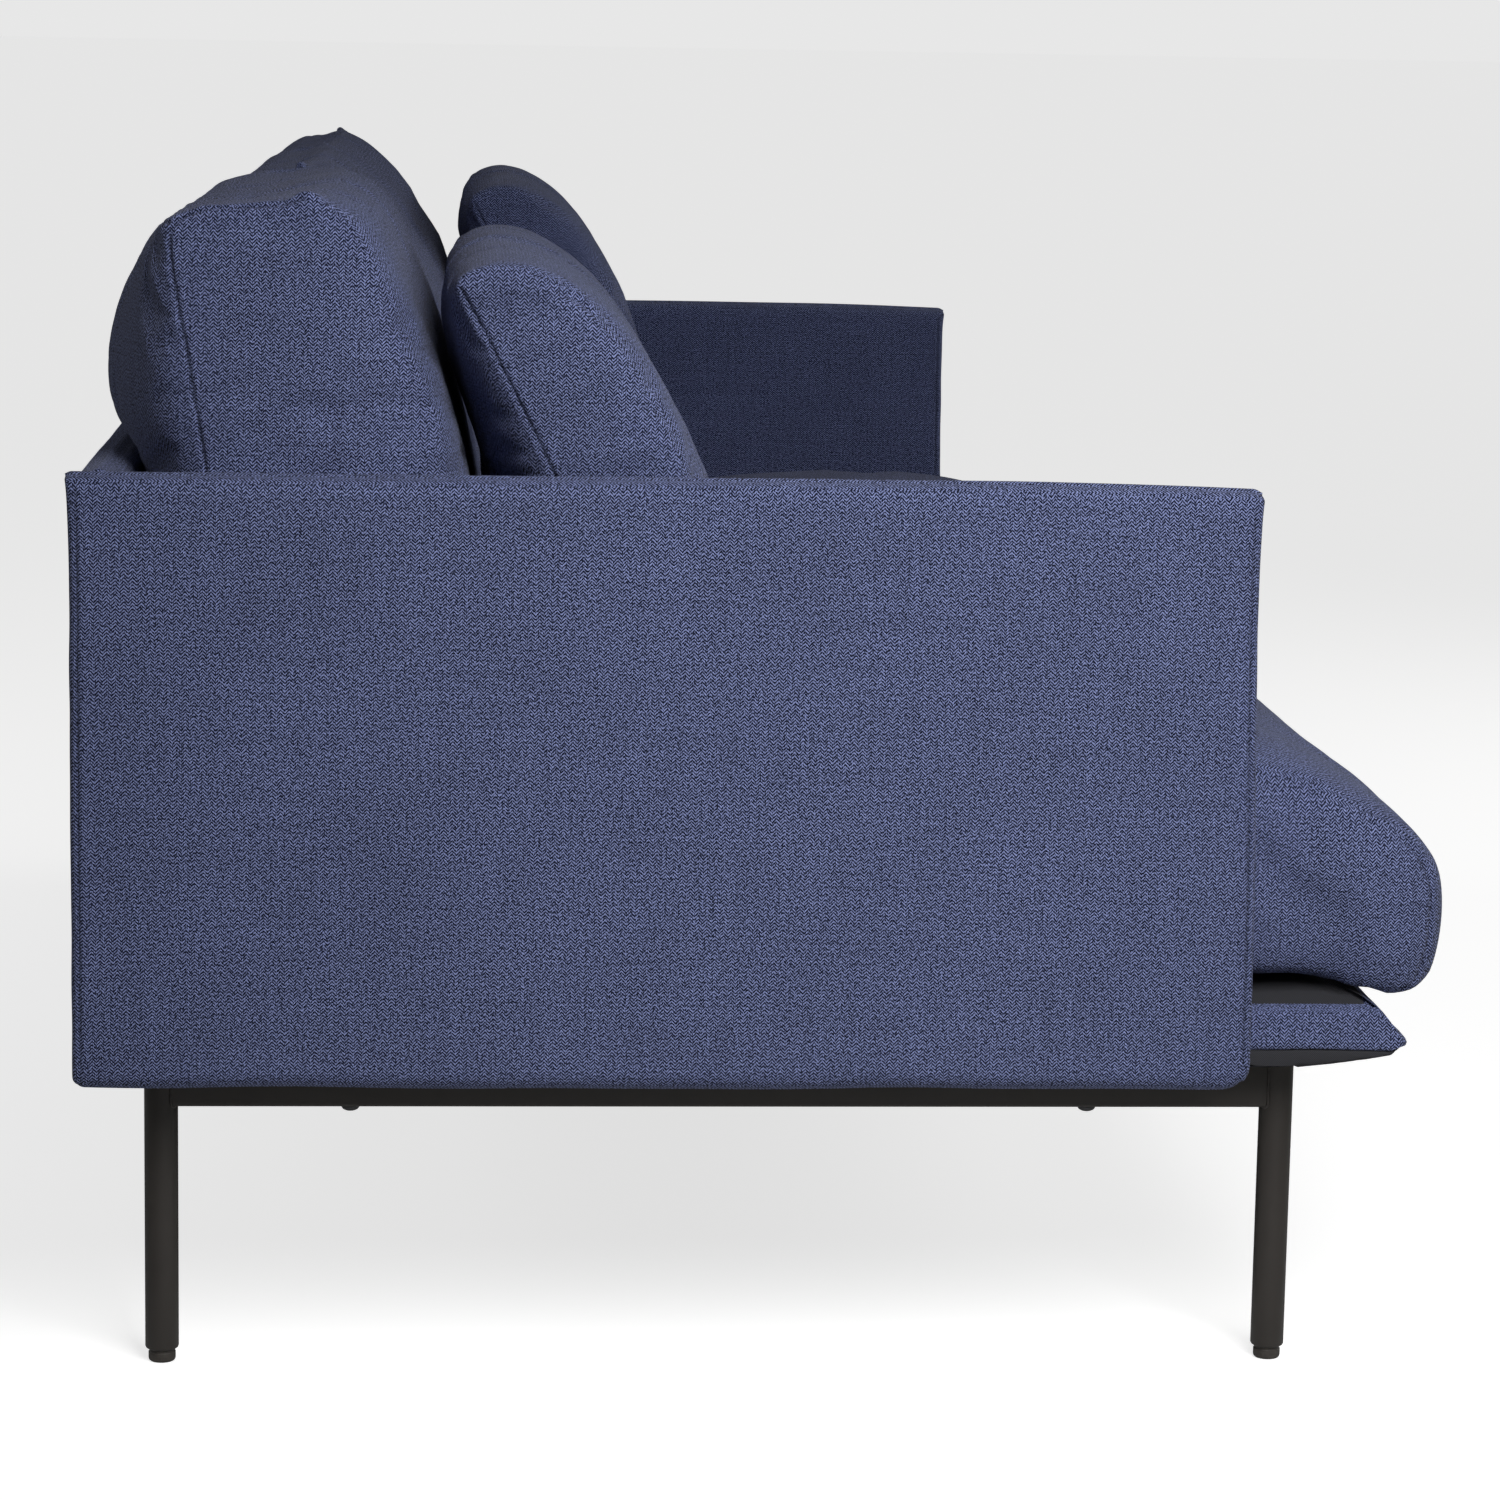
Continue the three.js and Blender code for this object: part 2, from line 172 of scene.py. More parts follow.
powder_coat, tree = new_material("black_powder_coated_steel")
place = add(tree, "ShaderNodeTexCoord", out="Object")
pebble = add(tree, "ShaderNodeTexNoise", {"Vector": place, "Scale": 1100.0, "Detail": 1.0})
patchy = add(tree, "ShaderNodeTexNoise", {"Vector": place, "Scale": 26.0, "Detail": 3.0})
coat_gloss = add(tree, "ShaderNodeMapRange", {"Value": patchy, "To Min": 0.42, "To Max": 0.58})
two_tone(tree, patchy, "2c2825", "37332f", {"Roughness": coat_gloss}, (pebble, 0.25, 0.0003))



def new_piece(name, points, faces, material):
    """A smooth-shaded mesh object at the origin, with faces turned outwards."""
    mesh = bpy.data.meshes.new(name)
    mesh.from_pydata([tuple(p) for p in points], [], faces)
    work = bmesh.new()
    work.from_mesh(mesh)
    bmesh.ops.remove_doubles(work, verts=work.verts, dist=1e-6)
    bmesh.ops.recalc_face_normals(work, faces=work.faces)
    work.to_mesh(mesh)
    work.free()
    mesh.shade_smooth()
    mesh.materials.append(material)
    piece = bpy.data.objects.new(name, mesh)
    scene.collection.objects.link(piece)
    return piece


def bridged(rows, size):
    """Faces between rings of equal size, each ring to the next."""
    return [[row * size + k, row * size + (k + 1) % size,
             (row + 1) * size + (k + 1) % size, (row + 1) * size + k]
            for row in range(rows - 1) for k in range(size)]


def capped(rows, size):
    """The same, with a flat cap on the first and the last ring."""
    return [*bridged(rows, size), list(range(size)), [(rows - 1) * size + k for k in range(size)]]


def turned(profile, x, y, sides):
    """Points and faces of a solid turned about an upright axis, from pairs of
    radius and height."""
    points = []
    for radius, height in profile:
        for k in range(sides):
            angle = 2 * math.pi * k / sides
            points.append((x + radius * math.cos(angle), y + radius * math.sin(angle), height))
    return points, capped(len(profile), sides)


def mark_sharp(piece, degrees):
    piece.data.set_sharp_from_angle(angle=math.radians(degrees))


leg_places = {}
for end in ("back", "front"):
    for side in ("left", "right"):
        node = f"leg_{end}_{side}"
        lo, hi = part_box(node)
        x, y, radius = (lo[0] + hi[0]) / 2, (lo[1] + hi[1]) / 2, (hi[0] - lo[0]) / 2
        leg_places[end, side] = (x, y, radius)
        profile = [
            (radius - 0.0034, lo[2]), (radius - 0.0016, lo[2] + 0.0001),
            (radius - 0.0006, lo[2] + 0.0007), (radius, lo[2] + 0.0020), (radius, lo[2] + 0.06),
            (radius, hi[2] - 0.06), (radius, hi[2] - 0.0012), (radius - 0.0012, hi[2])]
        leg = new_piece(f"{node}_tube", *turned(profile, x, y, LEG_SIDES), powder_coat)
        mark_sharp(leg, 40)
        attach(leg, "frame")
        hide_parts(node)


def rounded_rectangle(width, height, radius, steps=5):
    outline = []
    for cx, cy, start in ((1, 1, 0), (-1, 1, 90), (-1, -1, 180), (1, -1, 270)):
        for k in range(steps + 1):
            angle = math.radians(start + 90 * k / steps)
            outline.append((cx * (width / 2 - radius) + radius * math.cos(angle),
                            cy * (height / 2 - radius) + radius * math.sin(angle)))
    return outline


def steel_rail(node, axis, reach=0.0):
    """A rectangular tube that fills the node's box along its axis, run on a little
    at each end into the part that it is welded to."""
    lo, hi = Vector(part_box(node)[0]), Vector(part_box(node)[1])
    other = 1 - axis
    centre = (lo + hi) / 2
    section = rounded_rectangle(hi[other] - lo[other], hi[2] - lo[2], TUBE_CORNER)
    ends = [lo[axis] - reach, lo[axis] - reach + 0.02, hi[axis] + reach - 0.02, hi[axis] + reach]
    points = []
    for along_rail in ends:
        for side_step, up in section:
            point = [0, 0, centre.z + up]
            point[axis], point[other] = along_rail, centre[other] + side_step
            points.append(point)
    rail = new_piece(f"{node}_tube", points, capped(len(ends), len(section)), powder_coat)
    mark_sharp(rail, 40)
    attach(rail, "frame")
    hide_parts(node)
    return section, centre


side_section, side_centre = steel_rail("end_rail_left", 1, 0.003)
steel_rail("end_rail_right", 1, 0.003)
steel_rail("front_rail", 0)
steel_rail("back_rail", 0)
lo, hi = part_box("crossbar")
steel_rail("crossbar", 0 if hi[0] - lo[0] > 0.5 else 1)


def new_rule(name, sockets):
    """A Geometry Nodes tree with a mesh going in, a mesh coming out and named inputs."""
    rule = bpy.data.node_groups.new(name, "GeometryNodeTree")
    rule.interface.new_socket("Geometry", in_out="INPUT", socket_type="NodeSocketGeometry")
    for socket, kind in sockets:
        rule.interface.new_socket(socket, in_out="INPUT", socket_type=kind)
    rule.interface.new_socket("Geometry", in_out="OUTPUT", socket_type="NodeSocketGeometry")
    return rule, add(rule, "NodeGroupInput").node


def finish_rule(rule, geometry, material):
    solid = add(rule, "GeometryNodeRealizeInstances", {"Geometry": geometry})
    add(rule, "NodeGroupOutput", {
        "Geometry": add(rule, "GeometryNodeSetMaterial", {"Geometry": solid, "Material": material})})


def made_by_rule(name, rule, points, edges, values):
    """Runs a tree on a bare wire or set of points and keeps the plain mesh it makes."""
    wire = bpy.data.meshes.new(name)
    wire.from_pydata([tuple(p) for p in points], edges, [])
    piece = bpy.data.objects.new(name, wire)
    scene.collection.objects.link(piece)
    modifier = piece.modifiers.new("rule", "NODES")
    modifier.node_group = rule
    for item in rule.interface.items_tree:
        if item.name in values:
            modifier[item.identifier] = values[item.name]
    solid = bpy.data.meshes.new_from_object(
        piece.evaluated_get(bpy.context.evaluated_depsgraph_get()))
    piece.modifiers.clear()
    piece.data = solid
    solid.shade_smooth()
    return piece


bead_rule, given = new_rule("weld_bead", (
    ("Bead radius", "NodeSocketFloat"), ("Step", "NodeSocketFloat"), ("Ripple", "NodeSocketFloat")))
bead_path = add(bead_rule, "GeometryNodeResampleCurve", {
    "Curve": add(bead_rule, "GeometryNodeMeshToCurve", {"Mesh": given.outputs["Geometry"]}),
    "Length": given.outputs["Step"]}, mode="LENGTH")
ripple_phase = add(bead_rule, "ShaderNodeMath", {
    0: add(bead_rule, "GeometryNodeInputIndex"), 1: math.pi / 2}, operation="MULTIPLY")
ripple = add(bead_rule, "ShaderNodeMath", {
    0: add(bead_rule, "ShaderNodeMath", {0: ripple_phase}, operation="SINE"),
    1: given.outputs["Ripple"], 2: 1.0}, operation="MULTIPLY_ADD")
bead = add(bead_rule, "GeometryNodeCurveToMesh", {
    "Curve": bead_path,
    "Profile Curve": add(bead_rule, "GeometryNodeCurvePrimitiveCircle", {
        "Resolution": 8, "Radius": given.outputs["Bead radius"]}),
    "Scale": ripple})
finish_rule(bead_rule, bead, powder_coat)
bead_points, bead_edges = [], []


def round_the_rail(x, y, radius, away, along_x):
    """The line on a leg's face where a rail's section meets it."""
    first = len(bead_points)
    for across_rail, up in side_section:
        out = math.sqrt(radius ** 2 - across_rail ** 2) * away
        dx, dy = (out, across_rail) if along_x else (across_rail, out)
        bead_points.append((x + dx, y + dy, side_centre.z + up))
    total = len(side_section)
    bead_edges.extend((first + k, first + (k + 1) % total) for k in range(total))


for (end, side), (x, y, radius) in leg_places.items():
    round_the_rail(x, y, radius, -1 if end == "back" else 1, False)
    round_the_rail(x, y, radius, 1 if side == "left" else -1, True)
welds = made_by_rule("weld_beads", bead_rule, bead_points, bead_edges, {
    "Bead radius": 0.0013, "Step": 0.0012, "Ripple": 0.12})
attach(welds, "frame")

# Feet: moulded black nylon glides pressed into the tube ends, a little narrower
# than the tube, with a rounded tread.
glide_nylon, tree = new_material("moulded_black_nylon")
place = add(tree, "ShaderNodeTexCoord", out="Object")
scuff = add(tree, "ShaderNodeTexNoise", {"Vector": place, "Scale": 300.0, "Detail": 3.0})
two_tone(tree, scuff, "2a2725", "4a4540", {"Roughness": 0.6}, (scuff, 0.2, 0.0003))
for (end, side), (x, y, radius) in leg_places.items():
    node = f"glide_{end}_{side}"
    lo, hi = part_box(node)
    wide = (hi[0] - lo[0]) / 2
    profile = [
        (wide - 0.0030, 0.0), (wide - 0.0014, 0.0003), (wide - 0.0004, 0.0012), (wide, 0.0026),
        (wide, 0.0072), (wide - 0.0007, 0.0079), (wide - 0.0007, 0.0088), (wide - 0.0002, hi[2]),
        (wide - 0.0002, 0.0125)]
    glide = new_piece(f"{node}_foot", *turned(profile, x, y, 40), glide_nylon)
    mark_sharp(glide, 40)
    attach(glide, "frame")
    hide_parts(node)

# Screws: black zinc-plated button heads with a hexagon socket, driven up through
# the rails into the base boards.
SCREW_HEAD = 0.0070
SOCKET_ACROSS = 0.0024
SCREW_SIDES = 24
zinc_plate, tree = new_material("black_zinc_plated_steel")
place = add(tree, "ShaderNodeTexCoord", out="Object")
bloom = add(tree, "ShaderNodeTexNoise", {"Vector": place, "Scale": 420.0, "Detail": 3.0})
two_tone(tree, bloom, "3a3a3c", "5a5a5c", {
    "Metallic": 1.0,
    "Roughness": add(tree, "ShaderNodeMapRange", {"Value": bloom, "To Min": 0.28, "To Max": 0.5})})

points, _ = turned([
    (0.0026, 0.030), (0.0029, 0.001), (0.0029, 0.0), (SCREW_HEAD, 0.0), (SCREW_HEAD, -0.0008),
    (SCREW_HEAD - 0.0004, -0.0018), (SCREW_HEAD - 0.0014, -0.0030), (SCREW_HEAD - 0.0030, -0.0038),
    (0.0034, -0.0040)], 0, 0, SCREW_SIDES)
for depth in (-0.0040, -0.0016):
    for k in range(SCREW_SIDES):
        angle = 2 * math.pi * k / SCREW_SIDES
        nearest_flat = (angle + math.pi / 6) % (math.pi / 3) - math.pi / 6
        radius = SOCKET_ACROSS / math.cos(nearest_flat)
        points.append((radius * math.cos(angle), radius * math.sin(angle), depth))
faces = capped(len(points) // SCREW_SIDES, SCREW_SIDES)
screw_shape = new_piece("screw_shape", points, faces, zinc_plate)
mark_sharp(screw_shape, 35)

copies_rule, given = new_rule("copies_at_points", (("Shape", "NodeSocketObject"),))
copies = add(copies_rule, "GeometryNodeInstanceOnPoints", {
    "Points": given.outputs["Geometry"],
    "Instance": add(copies_rule, "GeometryNodeObjectInfo", {
        "Object": given.outputs["Shape"]}, out="Geometry")})
finish_rule(copies_rule, copies, zinc_plate)
screw_nodes = [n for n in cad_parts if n.startswith(("rail_screw", "crossbar_screw"))]
screw_points = []
for node in sorted(screw_nodes):
    lo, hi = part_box(node)
    screw_points.append(((lo[0] + hi[0]) / 2, (lo[1] + hi[1]) / 2, lo[2] + 0.0040))
screws = made_by_rule("rail_screws", copies_rule, screw_points, [], {"Shape": screw_shape})
bpy.data.objects.remove(screw_shape)
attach(screws, "frame")
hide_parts(*screw_nodes)
refinish(("arm_screw", "back_screw"), zinc_plate)


# ---- boards, webbing and lining ----------------------------------------------
# Birch plywood boards screwed into a box, with woven elastic webbing stretched
# front to back, closed below by a thin black felt-like lining.
plywood, tree = new_material("birch_plywood")
place = add(tree, "ShaderNodeTexCoord", out="Object")
grain_space = add(tree, "ShaderNodeMapping", {"Vector": place, "Scale": (6.0, 70.0, 70.0)})
grain = add(tree, "ShaderNodeTexNoise", {"Vector": grain_space, "Scale": 1.6, "Detail": 6.0})
ply_space = add(tree, "ShaderNodeSeparateXYZ", {"Vector": place}).node.outputs["Z"]
plies = stripes(tree, ply_space, 0.0030)
face_colour = add(tree, "ShaderNodeMix", {
    "Factor": grain, 6: linear("b08a5c"), 7: linear("e0c193")}, out=2, data_type="RGBA")
add(tree, "ShaderNodeOutputMaterial", {
    "Surface": add(tree, "ShaderNodeBsdfPrincipled", {
        "Base Color": add(tree, "ShaderNodeVectorMath", {
            0: face_colour, "Scale": add(tree, "ShaderNodeMapRange", {
                "Value": plies, "From Min": -1.0, "To Min": 0.82, "To Max": 1.0})}, operation="SCALE"),
        "Roughness": 0.62,
        "Normal": add(tree, "ShaderNodeBump", {"Height": grain, "Strength": 0.15, "Distance": 0.0004})})})

elastic, tree = new_material("woven_elastic_webbing")
place = add(tree, "ShaderNodeSeparateXYZ", {"Vector": add(tree, "ShaderNodeTexCoord", out="Object")})
cord_lines = stripes(tree, place, 0.0030)
pick_lines = stripes(tree, place.node.outputs["Y"], 0.0040)
webbed = add(tree, "ShaderNodeMath", {0: cord_lines, 1: pick_lines}, operation="MULTIPLY")
webbing_share = add(tree, "ShaderNodeMapRange", {"Value": webbed, "From Min": -1.0})
two_tone(tree, webbing_share, "1b1b1c", "58544d", {"Roughness": 0.85}, (webbed, 0.5, 0.0006))

lining_felt, tree = new_material("spunbond_lining")
place = add(tree, "ShaderNodeTexCoord", out="Object")
bonds = add(tree, "ShaderNodeTexVoronoi", {"Vector": place, "Scale": 420.0}, out="Distance")
fibres = add(tree, "ShaderNodeTexNoise", {"Vector": place, "Scale": 260.0, "Detail": 5.0})
two_tone(tree, fibres, "121213", "2e2e30", {
    "Roughness": 0.8, "Sheen Weight": 0.1}, (bonds, 0.4, 0.0005))

foam_cell, tree = new_material("polyurethane_foam")
place = add(tree, "ShaderNodeTexCoord", out="Object")
cells = add(tree, "ShaderNodeTexVoronoi", {"Vector": place, "Scale": 500.0}, out="Distance")
two_tone(tree, cells, "c9bd98", "efe6c8", {"Roughness": 0.95}, (cells, 0.5, 0.0008))

refinish(("arm_board", "back_board", "base_board"), plywood)
refinish("webbing", elastic)
refinish("dust_lining", lining_felt)
refinish("base_foam", foam_cell)

# Staples hold the lining's turned-in edge, one every 45 mm.
STAPLE_PITCH = 0.045
STAPLE_INSET = 0.009
bright_wire, tree = new_material("galvanised_staple_wire")
place = add(tree, "ShaderNodeTexCoord", out="Object")
spangle = add(tree, "ShaderNodeTexNoise", {"Vector": place, "Scale": 700.0})
add(tree, "ShaderNodeOutputMaterial", {
    "Surface": add(tree, "ShaderNodeBsdfPrincipled", {
        "Base Color": linear("b4b4b0"), "Metallic": 1.0,
        "Roughness": add(tree, "ShaderNodeMapRange", {"Value": spangle, "To Min": 0.3, "To Max": 0.5})})})
points = []
for along_wire, up in ((-0.005, 0.003), (-0.005, -0.0002), (-0.0045, -0.0007),
                       (0.0045, -0.0007), (0.005, -0.0002), (0.005, 0.003)):
    for side_step, thick in ((-0.0005, 0), (0.0005, 0), (0.0005, 0.0006), (-0.0005, 0.0006)):
        inner = 0.0006 if abs(along_wire) > 0.0046 else 0
        shift = -math.copysign(thick, along_wire) if inner else 0
        points.append((along_wire + shift, side_step, up + (0 if inner else thick)))
staple_shape = new_piece("staple_shape", points, capped(6, 4), bright_wire)

row_rule, given = new_rule("row_along_path", (
    ("Shape", "NodeSocketObject"), ("Pitch", "NodeSocketFloat"), ("Turn every second", "NodeSocketFloat"),
    ("Finish", "NodeSocketMaterial")))
row_path = add(row_rule, "GeometryNodeResampleCurve", {
    "Curve": add(row_rule, "GeometryNodeMeshToCurve", {"Mesh": given.outputs["Geometry"]}),
    "Length": given.outputs["Pitch"]}, mode="LENGTH")
facing = add(row_rule, "FunctionNodeAlignRotationToVector", {
    "Vector": add(row_rule, "GeometryNodeInputTangent")}, axis="X", pivot_axis="Z")
odd = add(row_rule, "ShaderNodeMath", {
    0: add(row_rule, "GeometryNodeInputIndex"), 1: 2.0}, operation="MODULO")
turn = add(row_rule, "ShaderNodeCombineXYZ", {
    "X": add(row_rule, "ShaderNodeMath", {
        0: odd, 1: given.outputs["Turn every second"]}, operation="MULTIPLY")})
facing = add(row_rule, "FunctionNodeRotateRotation", {
    "Rotation": facing,
    "Rotate By": add(row_rule, "FunctionNodeEulerToRotation", {"Euler": turn})}, rotation_space="LOCAL")
row_copies = add(row_rule, "GeometryNodeInstanceOnPoints", {
    "Points": row_path, "Rotation": facing,
    "Instance": add(row_rule, "GeometryNodeObjectInfo", {"Object": given.outputs["Shape"]}, out="Geometry")})
finish_rule(row_rule, row_copies, given.outputs["Finish"])

lo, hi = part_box("dust_lining")
left, right = lo[0] + STAPLE_INSET, hi[0] - STAPLE_INSET
front, rear = lo[1] + STAPLE_INSET, hi[1] - STAPLE_INSET
corners = [(left, front), (right, front), (right, rear), (left, rear)]
staples = made_by_rule("lining_staples", row_rule, [(x, y, lo[2]) for x, y in corners],
                       [(0, 1), (1, 2), (2, 3), (3, 0)],
                       {"Shape": staple_shape, "Pitch": STAPLE_PITCH, "Turn every second": 0.0,
                        "Finish": bright_wire})
bpy.data.objects.remove(staple_shape)
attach(staples, "frame")


# ---- herringbone upholstery cloth ------------------------------------------
# Wool-blend herringbone: pale blue-grey yarn over dark navy, woven in narrow
# columns of slanting ribs. Matt, with a soft grey bloom where it turns away.
COLUMN_WIDTH = 0.0031    # one column of ribs, all slanting the same way
RIB_PITCH = 0.0025       # real ribs are 1.8 mm apart; wider here so that they show
YARN_WIDTH = 0.0013
WOBBLE = 0.0012          # how far the ribs stray from straight
SLUB_STRETCH = ((7.0, 330.0, 1.0), (330.0, 9.0, 1.0))    # thick places along weft and warp
DARK_YARN = "080f26"
PALE_YARN = "7f89b6"
# how much darker the cloth's colour is made in its seam grooves: painted shade for the shadow there
SEAM_SHADE = 0.45

SHEEN = {"Sheen Weight": 0.12, "Sheen Roughness": 0.5, "Sheen Tint": linear("b9b7b4")}

cloth_material, tree = new_material("herringbone_wool")
cloth_uv = add(tree, "ShaderNodeUVMap", uv_map="cloth")
across = add(tree, "ShaderNodeSeparateXYZ", {"Vector": cloth_uv})
along = across.node.outputs["Y"]
columns = add(tree, "ShaderNodeMath", {0: across, 1: 1 / COLUMN_WIDTH}, operation="MULTIPLY")
column = add(tree, "ShaderNodeMath", {0: columns}, operation="FLOOR")
second = add(tree, "ShaderNodeMath", {0: column, 1: 2.0}, operation="FLOORED_MODULO")
within = add(tree, "ShaderNodeMath", {0: columns, 1: column}, operation="SUBTRACT")
side = add(tree, "ShaderNodeMath", {0: second, 1: -2 * COLUMN_WIDTH, 2: COLUMN_WIDTH}, operation="MULTIPLY_ADD")
broken = add(tree, "ShaderNodeMath", {0: second, 1: RIB_PITCH / 2, 2: along}, operation="MULTIPLY_ADD")
slant = add(tree, "ShaderNodeMath", {0: within, 1: side, 2: broken}, operation="MULTIPLY_ADD")
wobble = add(tree, "ShaderNodeTexNoise", {"Vector": cloth_uv, "Scale": 90.0, "Detail": 2.0})
slant = add(tree, "ShaderNodeMath", {0: wobble, 1: WOBBLE, 2: slant}, operation="MULTIPLY_ADD")
rib = stripes(tree, slant, RIB_PITCH)
yarn = stripes(tree, across, YARN_WIDTH)
weave = add(tree, "ShaderNodeMath", {0: yarn, 1: 0.3, 2: rib}, operation="MULTIPLY_ADD")
fleck = add(tree, "ShaderNodeTexNoise", {"Vector": cloth_uv, "Scale": 520.0, "Detail": 2.0})
fleck = add(tree, "ShaderNodeMapRange", {
    "Value": fleck, "From Min": 0.3, "From Max": 0.7, "To Min": -1.0, "To Max": 1.0})
weave_and_fleck = add(tree, "ShaderNodeMath", {0: weave, 1: fleck}, operation="ADD")
pale_share = add(tree, "ShaderNodeMapRange", {
    "Value": weave_and_fleck, "From Min": -0.25, "From Max": 0.85, "To Min": 0.0, "To Max": 1.0})
yarns = add(tree, "ShaderNodeMix", {
    "Factor": pale_share, 6: linear(DARK_YARN), 7: linear(PALE_YARN)}, out=2, data_type="RGBA")
cloudy = add(tree, "ShaderNodeTexNoise", {"Vector": cloth_uv, "Scale": 9.0, "Detail": 3.0})
cloudy = add(tree, "ShaderNodeMapRange", {
    "Value": cloudy, "From Min": 0.3, "From Max": 0.7, "To Min": 0.93, "To Max": 1.06})
slubs = [add(tree, "ShaderNodeTexNoise", {
    "Vector": add(tree, "ShaderNodeMapping", {"Vector": cloth_uv, "Scale": stretch}),
    "Scale": 1.0, "Detail": 3.0}) for stretch in SLUB_STRETCH]
slubs = [add(tree, "ShaderNodeMapRange", {
    "Value": slub, "From Min": 0.25, "From Max": 0.75, "To Min": 0.88, "To Max": 1.12}) for slub in slubs]
slubs = add(tree, "ShaderNodeMath", {0: slubs[0], 1: slubs[1]}, operation="MULTIPLY")
cloudy = add(tree, "ShaderNodeMath", {0: cloudy, 1: slubs}, operation="MULTIPLY")
# Painted shade: the seam attribute marks the seam grooves, and the cloth's colour is darkened there to stand
# for their shadow.
seam = add(tree, "ShaderNodeAttribute", out=2, attribute_name="seam")
painted_seam_shade = add(tree, "ShaderNodeMapRange", {
    "Value": seam, "From Min": 0.0, "From Max": 1.0, "To Min": 1.0, "To Max": 1 - SEAM_SHADE})
shade = add(tree, "ShaderNodeMath", {0: cloudy, 1: painted_seam_shade}, operation="MULTIPLY")
cloth_colour = add(tree, "ShaderNodeVectorMath", {0: yarns, "Scale": shade}, operation="SCALE")
bump = add(tree, "ShaderNodeBump", {"Height": weave, "Strength": 0.35, "Distance": 0.0004})
add(tree, "ShaderNodeOutputMaterial", {
    "Surface": add(tree, "ShaderNodeBsdfPrincipled", {
        "Base Color": cloth_colour, "Roughness": 0.92, "Specular IOR Level": 0.2,
        **SHEEN, "Normal": bump})})


def lay_cloth_grain(mesh):
    """Gives the mesh a UV map in metres, laid flat on each face's main direction."""
    corners = np.empty(len(mesh.loops), dtype=np.int64)
    mesh.loops.foreach_get("vertex_index", corners)
    points = np.empty(len(mesh.vertices) * 3)
    mesh.vertices.foreach_get("co", points)
    points = points.reshape(-1, 3)[corners]
    normals = np.empty(len(mesh.polygons) * 3)
    mesh.polygons.foreach_get("normal", normals)
    sides = np.empty(len(mesh.polygons), dtype=np.int64)
    mesh.polygons.foreach_get("loop_total", sides)
    facing = np.repeat(np.abs(normals.reshape(-1, 3)).argmax(axis=1), sides)
    uv = np.where(
        (facing == 0)[:, None], points[:, [1, 2]],
        np.where((facing == 1)[:, None], points[:, [0, 2]], points[:, [0, 1]]))
    layer = mesh.uv_layers.new(name="cloth")
    layer.data.foreach_set("uv", uv.astype(np.float32).ravel())


# Stores the painted shade of the seam grooves as a vertex attribute that darkens the cloth's colour.
def set_seam_shade(mesh, values):
    shade_layer = mesh.attributes.new("seam", "FLOAT", "POINT")
    shade_layer.data.foreach_set("value", np.asarray(values, dtype=np.float32))


# distances are measured forwards from the outer face of the back
BACK_FACE_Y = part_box("arm_cover_left")[1][1]


def y_of(forward):
    return BACK_FACE_Y - forward


# ---- arms and back ----------------------------------------------------------
# Each is a board glued between foam sheets in a sewn cover: a soft fold along
# the top, a narrow gusset down the upright edges with a seam just inside it.
SEAM_IN = 0.006
FACE_STEP = 0.008
EDGE_STEPS = (0, .0006, .0014, .0024, .0036, .0046, .0053, .006, .0067, .0075, .0088,
              .0108, .0135, .017, .022, .028, .036)


def graded(length, step=FACE_STEP):
    """Places along an edge, close together near both ends."""
    inner = length - 2 * EDGE_STEPS[-1]
    count = max(2, round(inner / step))
    middle = [EDGE_STEPS[-1] + inner * i / count for i in range(1, count)]
    return [*EDGE_STEPS, *middle, *(length - d for d in reversed(EDGE_STEPS))]


def edge_loss(inside, radius):
    """How far a rounded edge falls below the flat, so far inside the outline."""
    short = radius - min(inside, radius)
    return radius - math.sqrt(max(radius ** 2 - short ** 2, 0))


